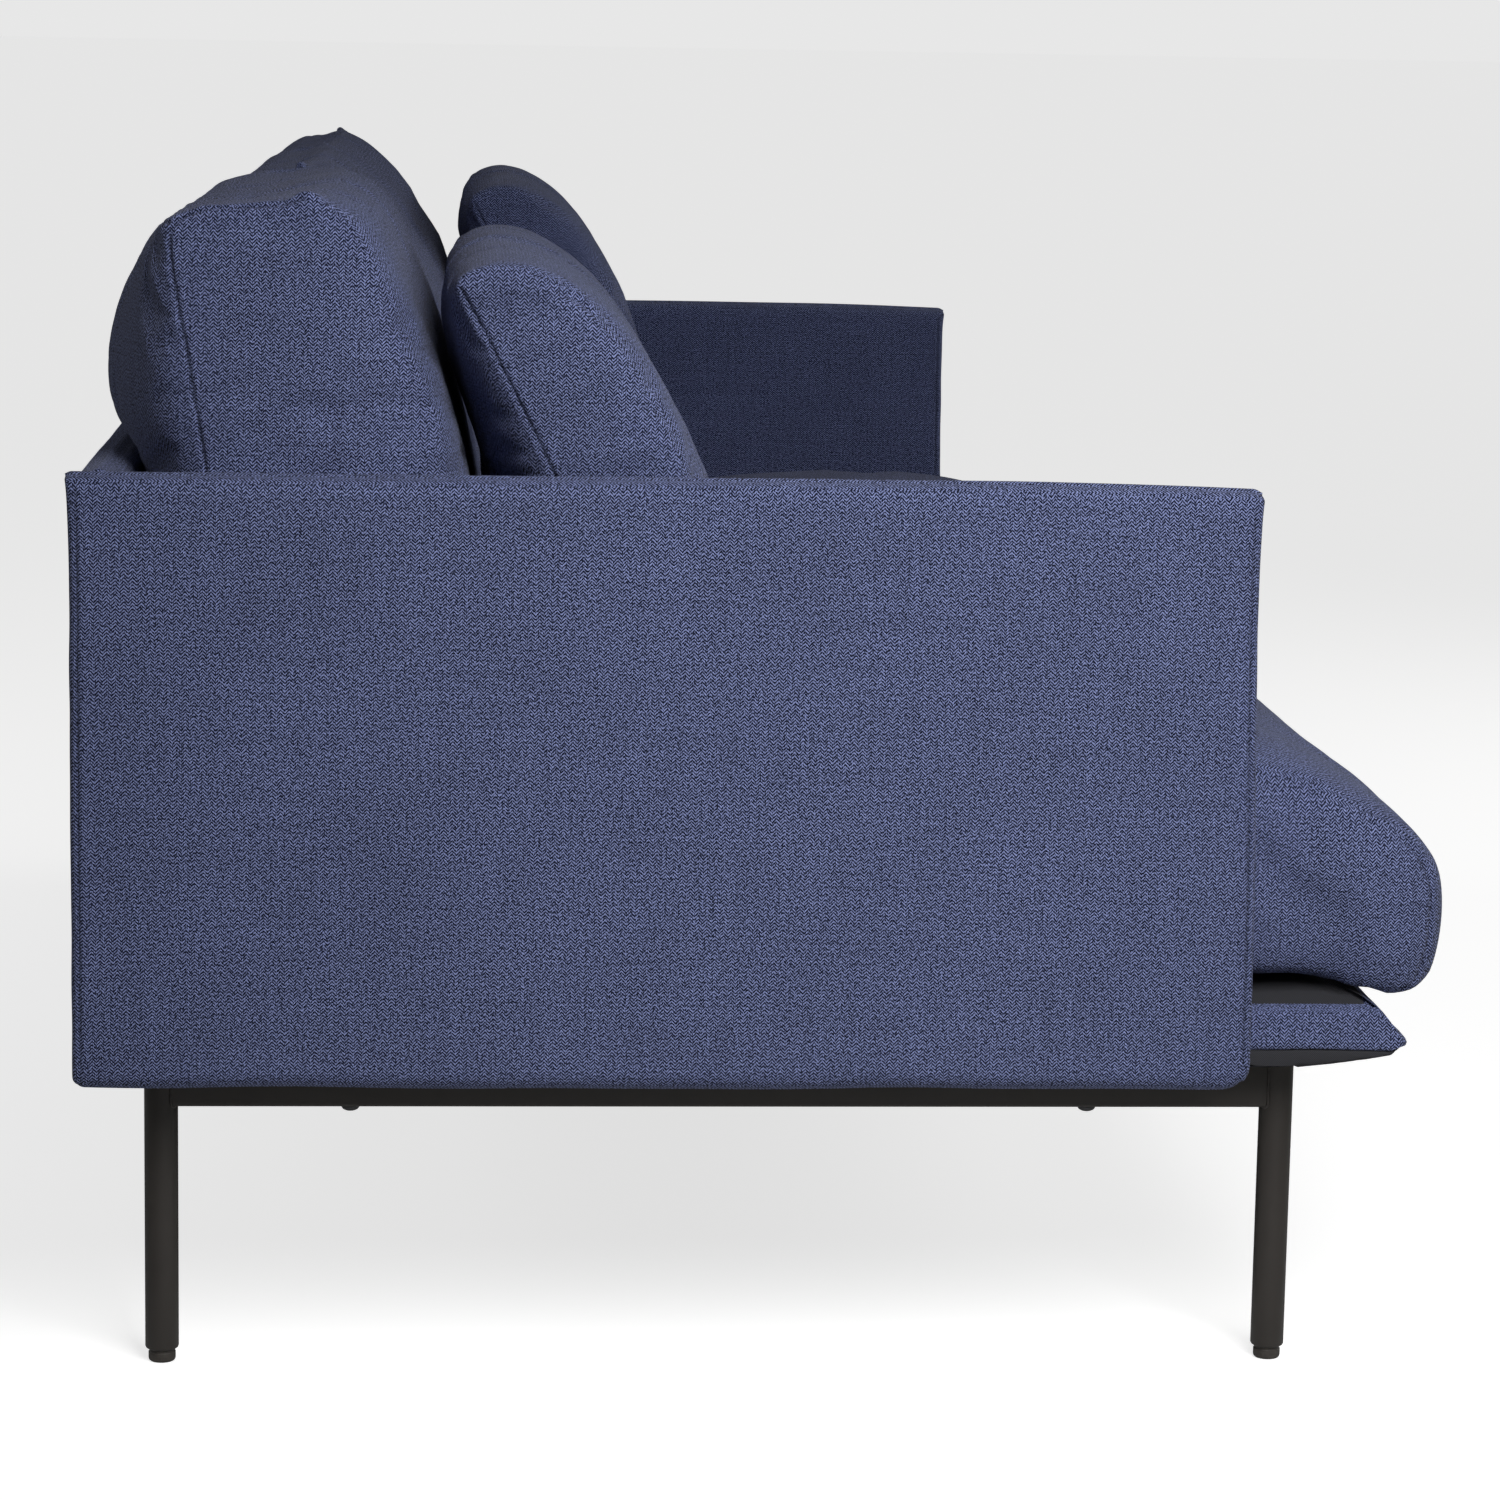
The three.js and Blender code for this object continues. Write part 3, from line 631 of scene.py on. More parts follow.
def padded_panel(name, length, height, thick, radii, to_world, seed, flare, droop):
    """A thin upholstered panel; radii are its four outline corners, and to_world
    places a point given along, up and through it."""
    us, vs = graded(length), graded(height)
    half = thick / 2
    upright_radius, fold_radius = 0.0065, 0.0135
    points, painted_seam_shades = [], []

    def surface(u, v, side):
        settle = min(max((u / length - 0.72) / 0.28, 0), 1) ** 2 * droop * (v / height) ** 2
        du, dv = min(u, length - u), min(v, height - v)
        low, near = v < height / 2, u < length / 2
        radius = radii[(0 if low else 2) + (0 if near else 1)]
        cu = radius if near else length - radius
        cv = radius if low else height - radius
        if du < radius and dv < radius:
            across_corner, up_corner = radius - du, radius - dv
            far = max(across_corner, up_corner)
            scale = far / max(math.hypot(across_corner, up_corner), 1e-9)
            u = cu + (-1 if near else 1) * across_corner * scale
            v = cv + (-1 if low else 1) * up_corner * scale
        loss = math.hypot(edge_loss(du, upright_radius), edge_loss(dv, fold_radius))
        depth = half - min(loss, half - 0.0035)
        inside = min(du, dv)
        spot = Vector((u * 5 + seed, v * 5, side * 3.0))
        depth += 0.0012 * (1 - math.exp(-inside / 0.03)) + 0.0008 * noise.noise(spot)
        depth += 0.0004 * noise.noise(spot * 6) * (1 - math.exp(-inside / 0.01))
        pucker = 1 + 0.5 * noise.noise(Vector((v * 90 + seed, 0, side)))
        fade = 1 - math.exp(-dv / 0.02)
        groove = math.exp(-((du - SEAM_IN) / 0.0011) ** 2) * fade
        depth -= 0.0014 * groove * pucker
        depth += 0.0005 * math.exp(-((du - 0.0105) / 0.003) ** 2) * fade * pucker
        edge = math.exp(-du / 0.01)
        v_top = height - v
        out = flare * math.exp(-v_top / 0.013) * edge
        out += 0.0008 * noise.noise(Vector((v * 22 + seed, 3.3, 0))) * edge
        u += -out if near else out
        hem = math.exp(-v / 0.012)
        v += hem * (0.0016 * noise.noise(Vector((u * 9 + seed, 7.7, 0))) - 0.0006)
        v += 0.0007 * noise.noise(Vector((u * 7 + seed, 1.1, 0))) * math.exp(-v_top / 0.012)
        v -= settle
        return (u, v, side * depth), groove

    index = {}
    for side in (-1, 1):
        for i, u in enumerate(us):
            for j, v in enumerate(vs):
                place, groove = surface(u, v, side)
                index[side, i, j] = len(points)
                points.append(to_world(*place))
                painted_seam_shades.append(groove)
    faces = []
    for side in (-1, 1):
        for i in range(len(us) - 1):
            for j in range(len(vs) - 1):
                faces.append([index[side, i, j], index[side, i + 1, j],
                              index[side, i + 1, j + 1], index[side, i, j + 1]])
    rim = [(i, 0) for i in range(len(us))] + [(len(us) - 1, j) for j in range(1, len(vs))]
    rim += [(i, len(vs) - 1) for i in range(len(us) - 2, -1, -1)]
    rim += [(0, j) for j in range(len(vs) - 2, 0, -1)]
    steps = 4
    strips = []
    for i, j in rim:
        a, b = Vector(points[index[-1, i, j]]), Vector(points[index[1, i, j]])
        du, dv = min(us[i], length - us[i]), min(vs[j], height - vs[j])
        origin = Vector(to_world(0, 0, 0))
        out = Vector((0, 0, 0))
        if du < 1e-6:
            out += (Vector(to_world(1, 0, 0)) - origin) * (1 if us[i] > 0 else -1)
        if dv < 1e-6:
            out += (Vector(to_world(0, 1, 0)) - origin) * (1 if vs[j] > 0 else -1)
        out.normalize()
        bow = 0.0022 if dv < 1e-6 else 0.0008
        strip = [index[-1, i, j]]
        for k in range(1, steps):
            t = k / steps
            strip.append(len(points))
            points.append(a.lerp(b, t) + out * bow * math.sin(math.pi * t))
            painted_seam_shades.append(0.0)
        strip.append(index[1, i, j])
        strips.append(strip)
    for strip, following in zip(strips, strips[1:] + strips[:1]):
        for k in range(steps):
            faces.append([strip[k], following[k], following[k + 1], strip[k + 1]])
    piece = new_piece(name, points, faces, cloth_material)
    work = KDTree(len(points))
    for n, p in enumerate(points):
        work.insert(p, n)
    work.balance()
    # The seam groove is also darkened in the cloth's colour, as painted shade for its shadow.
    set_seam_shade(piece.data, [painted_seam_shades[work.find(v.co)[1]] for v in piece.data.vertices])
    lay_cloth_grain(piece.data)
    return piece


arm_lo, arm_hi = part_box("arm_cover_left")
arm_length, arm_height = arm_hi[1] - arm_lo[1], arm_hi[2] - arm_lo[2]
arm_thick = arm_hi[0] - arm_lo[0]
FRONT_HEIGHTS = (0.035, 0.14, 0.31, 0.42)
FRONT_FULLNESS = (0.0073, 0.0065, 0.0022, 0.0015)
for side, sign in (("left", -1), ("right", 1)):
    middle_x = sign * (arm_hi[0] + arm_lo[0]) / -2

    def arm_to_world(u, v, t):
        fuller = np.interp(v, FRONT_HEIGHTS, FRONT_FULLNESS) * (u / arm_length) ** 4
        return middle_x + t * sign, arm_hi[1] - u - fuller, arm_lo[2] + v

    arm = padded_panel(
        f"arm_{side}", arm_length, arm_height, arm_thick, (0.008, 0.018, 0.004, 0.007),
        arm_to_world, 4.0 + sign, 0.0030, 0.0042)
    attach(arm, "frame")
    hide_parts(f"arm_cover_{side}")

back_lo, back_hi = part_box("back_cover")


def back_to_world(u, v, t):
    return back_lo[0] + u, (back_hi[1] + back_lo[1]) / 2 + t, back_lo[2] + v


back = padded_panel(
    "back_panel", back_hi[0] - back_lo[0], back_hi[2] - back_lo[2], back_hi[1] - back_lo[1],
    (0.004, 0.004, 0.004, 0.004), back_to_world, 11.0, 0.0, 0.0)
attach(back, "frame")
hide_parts("back_cover")


# ---- upholstered base --------------------------------------------------------
# A low mattress-like platform. The top cloth wraps down over the sides to a
# rolled seam that wanders a little; a bottom cloth tucks from it up to the rails.
# The profiles are pairs in millimetres, inwards and up from the seam.
SEAM_HEIGHT = 0.0150     # above the lowest line of the base
SIDE_WALL = ((2.2, 0), (-.6, .7), (-1.5, 2.2), (-1.7, 4.4), (-1.1, 8), (-.4, 12), (.6, 18), (3, 24),
             (8, 29), (15, 33), (24, 36.5), (35, 39.5), (48, 44), (66, 49.5))
NOSE = ((-.6, 0), (-2.8, .8), (-3.4, 2.6), (-2.4, 5), (1.2, 9), (5.6, 14), (10.6, 20), (16.4, 27),
        (22, 31), (28.5, 35.5), (37, 39), (49, 43), (66, 47), (100, 49.5))
SIDE_TUCK = ((.7, -.8), (.3, -2.4), (.3, -5.0), (.5, -8.0), (.9, -11.0), (1.8, -13),
             (4.0, -14.4), (12, -15), (60, -15))
NOSE_TUCK = ((1.2, -.9), (3.0, -2.0), (8, -3.4), (16, -5.0), (32, -8), (54, -11),
             (80, -12.8), (110, -14.6), (140, -15))
SHALLOW_TUCK = ((0, 3, 13, 30, 50, 72, 100, 130), (1, 1.8, 3.8, 7.5, 10.5, 12.4, 13.6, 15))
NOSE_TOP = ((.910, .945, .9589, .9925, .9945), (.3065, .3060, .3035, .266, .2613))
NOSE_UNDERSIDE = ((.8734, .9189, .9800, .9945), (.2415, .2443, .2529, .2613))
CORNER = 0.010
BOARD_LOW, BOARD_HIGH = 0.2436, 0.2875
SHADED_DECK_RING = 9            # from here inwards the top is dark lining under the seat, also painted shade for the seat's overhang
base_lo, base_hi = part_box("base_cover")
perimeter = []
straight_x = (base_hi[0] - base_lo[0]) / 2 - CORNER
front_y, rear_y = base_lo[1] + CORNER, base_hi[1] - CORNER
for (cx, cy), start in (((straight_x, front_y), -90), ((straight_x, rear_y), 0),
                        ((-straight_x, rear_y), 90), ((-straight_x, front_y), 180)):
    for k in range(9):
        angle = math.radians(start + 90 * k / 8)
        perimeter.append((cx + CORNER * math.cos(angle), cy + CORNER * math.sin(angle),
                          math.cos(angle), math.sin(angle)))
walk = []
for here, after in zip(perimeter, perimeter[1:] + perimeter[:1]):
    gap = math.hypot(after[0] - here[0], after[1] - here[1])
    pieces_between = max(1, round(gap / 0.009))
    for k in range(pieces_between):
        t = k / pieces_between
        walk.append([h + (a - h) * t for h, a in zip(here, after)])
board_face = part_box("base_board_right")[1][0] + 0.0009


def clear_of_board(x, y, z, nx):
    """Keeps the cloth outside the side boards, which run close under it."""
    if abs(nx) > 0.7 and BOARD_LOW < z < BOARD_HIGH:
        x = math.copysign(max(abs(x), board_face), x)
    return x, y, z


def squared(x, y, side_in, nose_in):
    """Holds a ring to its own inset rectangle, so that corners don't fold over."""
    side, nose = base_hi[0] - side_in / 1000, base_lo[1] + nose_in / 1000
    if abs(x) > side and side_in > 5:
        x = math.copysign(side + (abs(x) - side) * 0.02, x)
    if y < nose and nose_in > 5:
        y = nose + (y - nose) * 0.02
    return x, y


rings = [[] for _ in (*SIDE_WALL, *SIDE_TUCK)]
count = len(walk)
for x, y, nx, ny in walk:
    frontness = min(1.0, (max(0.0, -ny) / 0.6) ** 2)
    spot = Vector((x * 9, y * 9, 0.3))
    rise = 0.0030 * noise.noise(spot) + 0.0014 * noise.noise(spot * 2.7)
    sway = 0.0022 * noise.noise(spot * 1.6 + Vector((5, 0, 0)))
    seam_z = base_lo[2] + SEAM_HEIGHT + 0.003 * frontness
    for n, (side_step, nose_step) in enumerate(zip(SIDE_WALL, NOSE)):
        inward = (side_step[0] * (1 - frontness) + nose_step[0] * frontness) / 1000
        up = (side_step[1] * (1 - frontness) + nose_step[1] * frontness) / 1000
        fade = math.exp(-up / 0.018)
        crease = 0.0012 * noise.noise(Vector((x * 30, y * 30, up * 25)))
        crease *= math.exp(-((up - 0.014) / 0.014) ** 2)
        shift = inward - sway * fade - crease
        place = squared(x - nx * shift, y - ny * shift, side_step[0], nose_step[0])
        rings[n].append(clear_of_board(*place, seam_z + up + rise * fade, nx))
    for n, (side_step, nose_step) in enumerate(zip(SIDE_TUCK, NOSE_TUCK)):
        inward = (side_step[0] * (1 - frontness) + nose_step[0] * frontness) / 1000
        down = (side_step[1] * (1 - frontness) + nose_step[1] * frontness) / 1000
        shallow = np.interp((y - base_lo[1]) * 1000 + inward * 1000 * frontness, *SHALLOW_TUCK)
        down = -min(-down, shallow / 1000)
        fade = math.exp(inward / -0.03)
        crease = 0.0009 * noise.noise(Vector((x * 24, y * 24, inward * 30)))
        shift = inward - sway * fade
        tuck_z = seam_z - 0.003 * frontness * (1 - math.exp(-inward / 0.02)) + down + rise * fade
        tuck_z += crease * (1 - math.exp(-inward / 0.01))
        place = squared(x - nx * shift, y - ny * shift, side_step[0], nose_step[0])
        rings[len(SIDE_WALL) + n].append(clear_of_board(*place, max(tuck_z, base_lo[2] - 0.001), nx))
points = [p for ring in rings for p in ring]
faces = []
for a, b in [(n, n + 1) for n in range(len(SIDE_WALL) - 1)] + [(0, len(SIDE_WALL))] + [
        (len(SIDE_WALL) + n, len(SIDE_WALL) + n + 1) for n in range(len(SIDE_TUCK) - 1)]:
    for k in range(count):
        following = (k + 1) % count
        faces.append([a * count + k, a * count + following, b * count + following, b * count + k])
faces.append([(len(SIDE_WALL) - 1) * count + k for k in range(count)])
faces.append([(len(rings) - 1) * count + k for k in range(count)])
for n, (x, y, z) in enumerate(points):
    forward = y_of(y)
    z = max(z, np.interp(forward, *NOSE_UNDERSIDE))
    points[n] = (x, y, min(z, np.interp(forward, *NOSE_TOP)))
base = new_piece("base_pad", points, faces, cloth_material)
# Painted shade: the cloth is darkened along the notch of the rolled seam, standing for the shadow in it.
notch = KDTree(count)
for k in range(count):
    notch.insert(points[k], k)
notch.balance()
set_seam_shade(base.data, [
    math.exp(-(notch.find(v.co)[2] / 0.0012) ** 2) for v in base.data.vertices])

# The bottom cloth and the deck under the seat are a plain charcoal lining twill. On the deck, and on the
# shoulder that curves in under the seat's edge, this dark cloth also stands as painted shade from the seat.
lining_twill_and_deck_shade, tree = new_material("charcoal_lining_and_painted_deck_shade")
twill_uv = add(tree, "ShaderNodeSeparateXYZ", {"Vector": add(tree, "ShaderNodeUVMap", uv_map="cloth")})
twill = stripes(tree, add(tree, "ShaderNodeMath", {
    0: twill_uv, 1: twill_uv.node.outputs["Y"]}, operation="ADD"), 0.0016)
twill_share = add(tree, "ShaderNodeMapRange", {"Value": twill, "From Min": -1.0})
two_tone(tree, twill_share, "1d1e22", "36363b", {"Roughness": 0.9}, (twill, 0.3, 0.0003))
base.data.materials.append(lining_twill_and_deck_shade)
for face in base.data.polygons:
    if face.index >= SHADED_DECK_RING * count:
        face.material_index = 1
lay_cloth_grain(base.data)
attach(base, "frame")
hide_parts("base_cover", "base_foam", "base_foam_front")


# ---- seat cushion ------------------------------------------------------------
# A bench cushion of foam under a fibre wrap, in a cover with flat end panels.
# It is crowned in front and pressed flat under the back cushions and pillows.
CLOTH_FRAMES = 20
CREASE_LIMIT = 0.010     # how far cloth may move from the shape that was sewn
GATHER = 0.06
PER_SPAN = 6             # points of an outline from one knot to the next


def curve_through(knots, corners):
    """A closed line through the knots, smooth except at the listed corners."""
    knots = np.array(knots, dtype=float)
    total = len(knots)
    line = []
    for i in range(total):
        p1, p2 = knots[i], knots[(i + 1) % total]
        p0 = 2 * p1 - p2 if i in corners else knots[i - 1]
        p3 = 2 * p2 - p1 if (i + 1) % total in corners else knots[(i + 2) % total]
        for k in range(PER_SPAN):
            t = k / PER_SPAN
            line.append(0.5 * (2 * p1 + (p2 - p0) * t + (2 * p0 - 5 * p1 + 4 * p2 - p3) * t ** 2
                               + (3 * p1 - p0 - 3 * p2 + p3) * t ** 3))
    return np.array(line)


def crowned_rings(knots, corners, x0, x1):
    """Rings along the length: each knot is (end forward, end height, middle forward,
    middle height, reach), and goes from the first to the second within its reach."""
    knots = np.array(knots, dtype=float) / 1000
    line = curve_through(knots, corners)
    half = (x1 - x0) / 2
    steps = [0]
    while steps[-1] < half:
        steps.append(min(half, steps[-1] + min(0.003 + steps[-1] * 0.22, 0.03)))
    near_side = [x0 + s for s in steps]
    xs = near_side + [x1 - s for s in reversed(steps[:-1])]
    rings = []
    for x in xs:
        inside = min(x - x0, x1 - x)
        reach = np.maximum(line[:, 4], 1e-4)
        share = np.clip(1 - inside / reach, 0, 1)
        full = (1 - share ** 2) ** 0.5
        flat = line[:, :2] + (line[:, 2:4] - line[:, :2]) * full[:, None]
        rings.append(np.column_stack([np.full(len(line), x), y_of(flat[:, 0]), flat[:, 1]]))
    return rings


def lofted(name, rings):
    ring_size = len(rings[0])
    points = [p for ring in rings for p in ring]
    faces = bridged(len(rings), ring_size)
    for first in (0, (len(rings) - 1) * ring_size):
        centre = len(points)
        points.append(np.mean([points[first + k] for k in range(ring_size)], axis=0))
        faces += [[first + k, first + (k + 1) % ring_size, centre] for k in range(ring_size)]
    return new_piece(name, points, faces, cloth_material)


def apply_modifiers(piece):
    plain = bpy.data.meshes.new_from_object(
        piece.evaluated_get(bpy.context.evaluated_depsgraph_get()))
    piece.modifiers.clear()
    piece.data = plain


def positions(mesh):
    flat = np.empty(len(mesh.vertices) * 3)
    mesh.vertices.foreach_get("co", flat)
    return flat.reshape(-1, 3)


def set_positions(mesh, points):
    mesh.vertices.foreach_set("co", np.asarray(points, dtype=np.float32).ravel())
    mesh.update()


def smoothed(mesh, values, rounds):
    """Averages a value per vertex with its neighbours' values, again and again."""
    ends = np.empty(len(mesh.edges) * 2, dtype=np.int64)
    mesh.edges.foreach_get("vertices", ends)
    a, b = ends.reshape(-1, 2).T
    total = len(mesh.vertices)
    degree = np.bincount(a, minlength=total) + np.bincount(b, minlength=total)
    for _ in range(rounds):
        gathered = np.column_stack([
            np.bincount(a, values[b, c], total) + np.bincount(b, values[a, c], total)
            for c in range(values.shape[1])])
        values = 0.5 * values + 0.5 * gathered / degree[:, None]
    return values


def near_lines(points, lines):
    """The distance from each point to the nearest of the lines, given densely."""
    tree_points = [p for line in lines for p in line]
    index = KDTree(len(tree_points))
    for n, p in enumerate(tree_points):
        index.insert(p, n)
    index.balance()
    return np.array([index.find(p)[2] for p in points])


def densely(line, step=0.003):
    line = np.asarray(line, dtype=float)
    made = []
    for a, b in zip(line, line[1:]):
        parts = max(1, int(np.linalg.norm(b - a) / step))
        made += [a + (b - a) * k / parts for k in range(parts)]
    return [*made, line[-1]]


def stuffed(name, rings, seam_lines, voxel, pressure, limits, tips=()):
    """Sews and fills a cushion: the lofted shape is remeshed and blown up as cloth with
    its seams gathered. It keeps the creases but not the swelling, within its limits."""
    piece = lofted(name, rings)
    remesh = piece.modifiers.new("even_mesh", "REMESH")
    remesh.mode = "VOXEL"
    remesh.voxel_size = voxel
    apply_modifiers(piece)
    start = smoothed(piece.data, positions(piece.data), 2)
    set_positions(piece.data, start)
    lines = [densely(line) for line in seam_lines]
    seam_distance = near_lines(start, lines)
    group = piece.vertex_groups.new(name="gathered")
    for n, d in enumerate(seam_distance):
        group.add([n], math.exp(-(d / 0.010) ** 2), "REPLACE")
    cloth = piece.modifiers.new("cloth", "CLOTH")
    cloth.settings.quality = 4
    cloth.settings.mass = 0.25
    cloth.settings.use_pressure = True
    cloth.settings.uniform_pressure_force = pressure
    cloth.settings.tension_stiffness = 12
    cloth.settings.compression_stiffness = 12
    cloth.settings.shear_stiffness = 4
    cloth.settings.bending_stiffness = 0.3
    cloth.settings.vertex_group_shrink = "gathered"
    cloth.settings.shrink_min = 0.0
    cloth.settings.shrink_max = GATHER
    cloth.settings.effector_weights.gravity = 0
    cloth.collision_settings.use_collision = False
    for step in range(1, CLOTH_FRAMES + 1):
        scene.frame_set(step)
    apply_modifiers(piece)
    scene.frame_set(1)
    swell = positions(piece.data) - start
    detail = swell - smoothed(piece.data, swell, 18)
    size = np.linalg.norm(detail, axis=1, keepdims=True)
    detail *= np.tanh(size / CREASE_LIMIT) * CREASE_LIMIT / np.maximum(size, 1e-9)
    set_positions(piece.data, start + detail)
    piece.vertex_groups.clear()
    finer = piece.modifiers.new("finer", "SUBSURF")
    finer.levels = finer.render_levels = 1
    apply_modifiers(piece)
    points = positions(piece.data)
    for tip, outwards in tips:
        closeness = np.exp(-(np.linalg.norm(points - tip, axis=1) / 0.016) ** 2)
        points += closeness[:, None] * outwards
    points = limits(points)
    set_positions(piece.data, points)
    surface = BVHTree.FromObject(piece, bpy.context.evaluated_depsgraph_get())
    dense = []
    for line in lines:
        on_surface = np.array([surface.find_nearest(p)[0] for p in line[::2]])
        for _ in range(3):
            on_surface[1:-1] = (on_surface[:-2] + 2 * on_surface[1:-1] + on_surface[2:]) / 4
        dense.append(densely(on_surface, 0.0015))
    finer = bmesh.new()
    finer.from_mesh(piece.data)
    beside = near_lines([f.calc_center_median() for f in finer.faces], dense)
    close = {e for f, d in zip(finer.faces, beside) if d < 0.0060 for e in f.edges}
    bmesh.ops.subdivide_edges(finer, edges=list(close), cuts=2, use_grid_fill=True)
    finer.to_mesh(piece.data)
    finer.free()
    piece.data.update()
    points = positions(piece.data)
    normals = np.empty(len(points) * 3)
    piece.data.vertices.foreach_get("normal", normals)
    normals = normals.reshape(-1, 3)
    distance = near_lines(points, dense)
    valley = np.exp(-(distance / 0.0013) ** 2)
    ridge = np.exp(-((distance - 0.0042) / 0.0024) ** 2)
    set_positions(piece.data, points + normals * (ridge * 0.0006 - valley * 0.0019)[:, None])
    piece.data.shade_smooth()
    piece.data.materials.clear()
    piece.data.materials.append(cloth_material)
    # The seam valleys are also darkened in the cloth's colour, a painted shade for their shadow.
    set_seam_shade(piece.data, valley)
    lay_cloth_grain(piece.data)
    return piece


def inset_seam(ring, first_knot, last_knot, turn_knot):
    """The end panel's seam, just inside its outline and wandering a little past the turn."""
    line = along_ring(ring, first_knot, last_knot).copy()
    middle = np.mean(ring, axis=0)
    after = (np.arange(len(line)) - (turn_knot - first_knot) * PER_SPAN) / (3 * PER_SPAN)
    after = np.clip(after, 0, 1)
    inward = 0.0015 + 0.0035 * np.sin(np.pi * after) ** 0.5
    inward += 0.0025 * np.sin(3 * np.pi * after) * (after > 0.35)
    towards = middle - line
    return line + towards / np.linalg.norm(towards, axis=1, keepdims=True) * inward[:, None]


def corner_tips(rings, knots):
    """Where a cushion's sewn corners are, and how far each stands out."""
    tips = []
    for ring in (rings[0], rings[-1]):
        inner = np.mean(rings[len(rings) // 2], axis=0)
        for knot, pull in knots:
            tip = ring[knot * PER_SPAN]
            away = tip - np.mean(ring, axis=0)
            away[0] = 0.5 * np.sign(tip[0] - inner[0]) * np.linalg.norm(away)
            tips.append((tip, away / np.linalg.norm(away) * pull))
    return tips


SEAT_KNOTS = (
    (45, 303, 44, 309, 30), (44, 360, 43, 360, 30), (44, 425, 44, 445, 60), (62, 438, 64, 470, 90),
    (180, 440, 180, 471, 120), (330, 441, 330, 471, 120), (480, 442, 480, 473, 120),
    (620, 446, 620, 492, 130), (740, 446, 740, 495, 130), (850, 441, 850, 490, 130),
    (905, 433, 900, 480, 120), (955, 424, 945, 457, 100), (994, 418, 986, 430, 70),
    (1012, 398, 1013, 400, 40), (1018, 362, 1020, 364, 40), (1011, 320, 1014, 322, 40),
    (990, 293, 993, 295, 40), (850, 300, 850, 307, 40), (400, 300, 400, 307, 40),
)
seat_lo, seat_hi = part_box("seat_cushion_cover")
seat_rings = crowned_rings(SEAT_KNOTS, (0,), seat_lo[0] + 0.002, seat_hi[0] - 0.002)


def along_ring(ring, first_knot, last_knot):
    return ring[first_knot * PER_SPAN:last_knot * PER_SPAN + 1]


def within_seat(points):
    """Keeps the seat between the arms, on the base and under the back cushions, with a
    groove for the zip; its ends and its front hang a little over the base."""
    points = points.copy()
    points[:, 0] = np.clip(points[:, 0], seat_lo[0] - 0.001, seat_hi[0] + 0.001)
    points[:, 1] = np.minimum(points[:, 1], seat_hi[1] + 0.0005)
    beside_zip = np.abs(points[:, 0]) < zip_hi[0] + 0.008
    beside_zip &= np.abs(points[:, 2] - zip_middle) < 0.0085
    beside_zip &= points[:, 1] > seat_hi[1] - 0.02
    points[:, 1] = np.where(
        beside_zip, np.minimum(points[:, 1], zip_lo[1] + 0.0004), points[:, 1])
    forward = BACK_FACE_Y - points[:, 1]
    over_end = np.clip(1 - (seat_hi[0] - np.abs(points[:, 0])) / 0.045, 0, 1)
    over_front = np.clip((forward - 0.955) / 0.03, 0, 1)
    points[:, 2] = np.maximum(points[:, 2], 0.3076 - np.maximum(0.0085 * over_end, 0.014 * over_front))
    ceiling = 0.4700 + 0.040 * np.clip((forward - 0.50) / 0.16, 0, 1) ** 1.5
    points[:, 2] = np.minimum(points[:, 2], ceiling)
    return points


zip_lo, zip_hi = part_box("seat_cushion_zip")
zip_middle = (zip_lo[2] + zip_hi[2]) / 2
seat_seams = []
for ring in (seat_rings[0], seat_rings[-1]):
    line = along_ring(ring, 12, 16)
    towards = np.mean(ring, axis=0) - line
    seat_seams.append(line + towards / np.linalg.norm(towards, axis=1, keepdims=True) * 0.0045)
seat = stuffed("seat_cushion", seat_rings, seat_seams, 0.013, 3.0, within_seat)
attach(seat, "seat_cushion")
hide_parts("seat_cushion_cover", "seat_cushion_filling")

# The seat's cover closes at the rear with a long coil zip on a navy tape.
COIL_PITCH = 0.0022
ZIP_END = 0.004
zip_tape, tree = new_material("woven_zip_tape")
place = add(tree, "ShaderNodeSeparateXYZ", {"Vector": add(tree, "ShaderNodeTexCoord", out="Object")})
tape_rows = stripes(tree, add(tree, "ShaderNodeMath", {
    0: place, 1: place.node.outputs["Z"]}, operation="ADD"), 0.0011)
tape_share = add(tree, "ShaderNodeMapRange", {"Value": tape_rows, "From Min": -1.0})
two_tone(tree, tape_share, "141a2c", "2b3350", {"Roughness": 0.8}, (tape_rows, 0.4, 0.0002))
refinish("seat_cushion_zip", zip_tape)

coil_nylon, tree = new_material("moulded_nylon_coil")
place = add(tree, "ShaderNodeTexCoord", out="Object")
# Lighter noise spots in the coil's colour are a painted sheen.
painted_sheen_spots = add(tree, "ShaderNodeTexNoise", {"Vector": place, "Scale": 500.0})
two_tone(tree, painted_sheen_spots, "161b2b", "2a3147", {"Roughness": 0.4})
tooth = [(x * 0.0006, y * 0.0008, z) for x, y, z in (
    (-1, -1, -0.0007), (1, -1, -0.0007), (1, 1, -0.0007), (-1, 1, -0.0007),
    (-1, -1, 0.0012), (1, -1, 0.0012), (1, 1, 0.0012), (-1, 1, 0.0012),
    (-.6, -.5, 0.0022), (.6, -.5, 0.0022), (.6, .5, 0.0022), (-.6, .5, 0.0022))]
tooth_shape = new_piece("tooth_shape", tooth, capped(3, 4), coil_nylon)
coil_y = zip_hi[1] + 0.0002
teeth = made_by_rule(
    "seat_zip_coil", row_rule,
    [(zip_lo[0] + ZIP_END, coil_y, zip_middle), (zip_hi[0] - ZIP_END, coil_y, zip_middle)], [(0, 1)],
    {"Shape": tooth_shape, "Pitch": COIL_PITCH / 2, "Turn every second": math.pi,
     "Finish": coil_nylon})
bpy.data.objects.remove(tooth_shape)
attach(teeth, "seat_cushion")

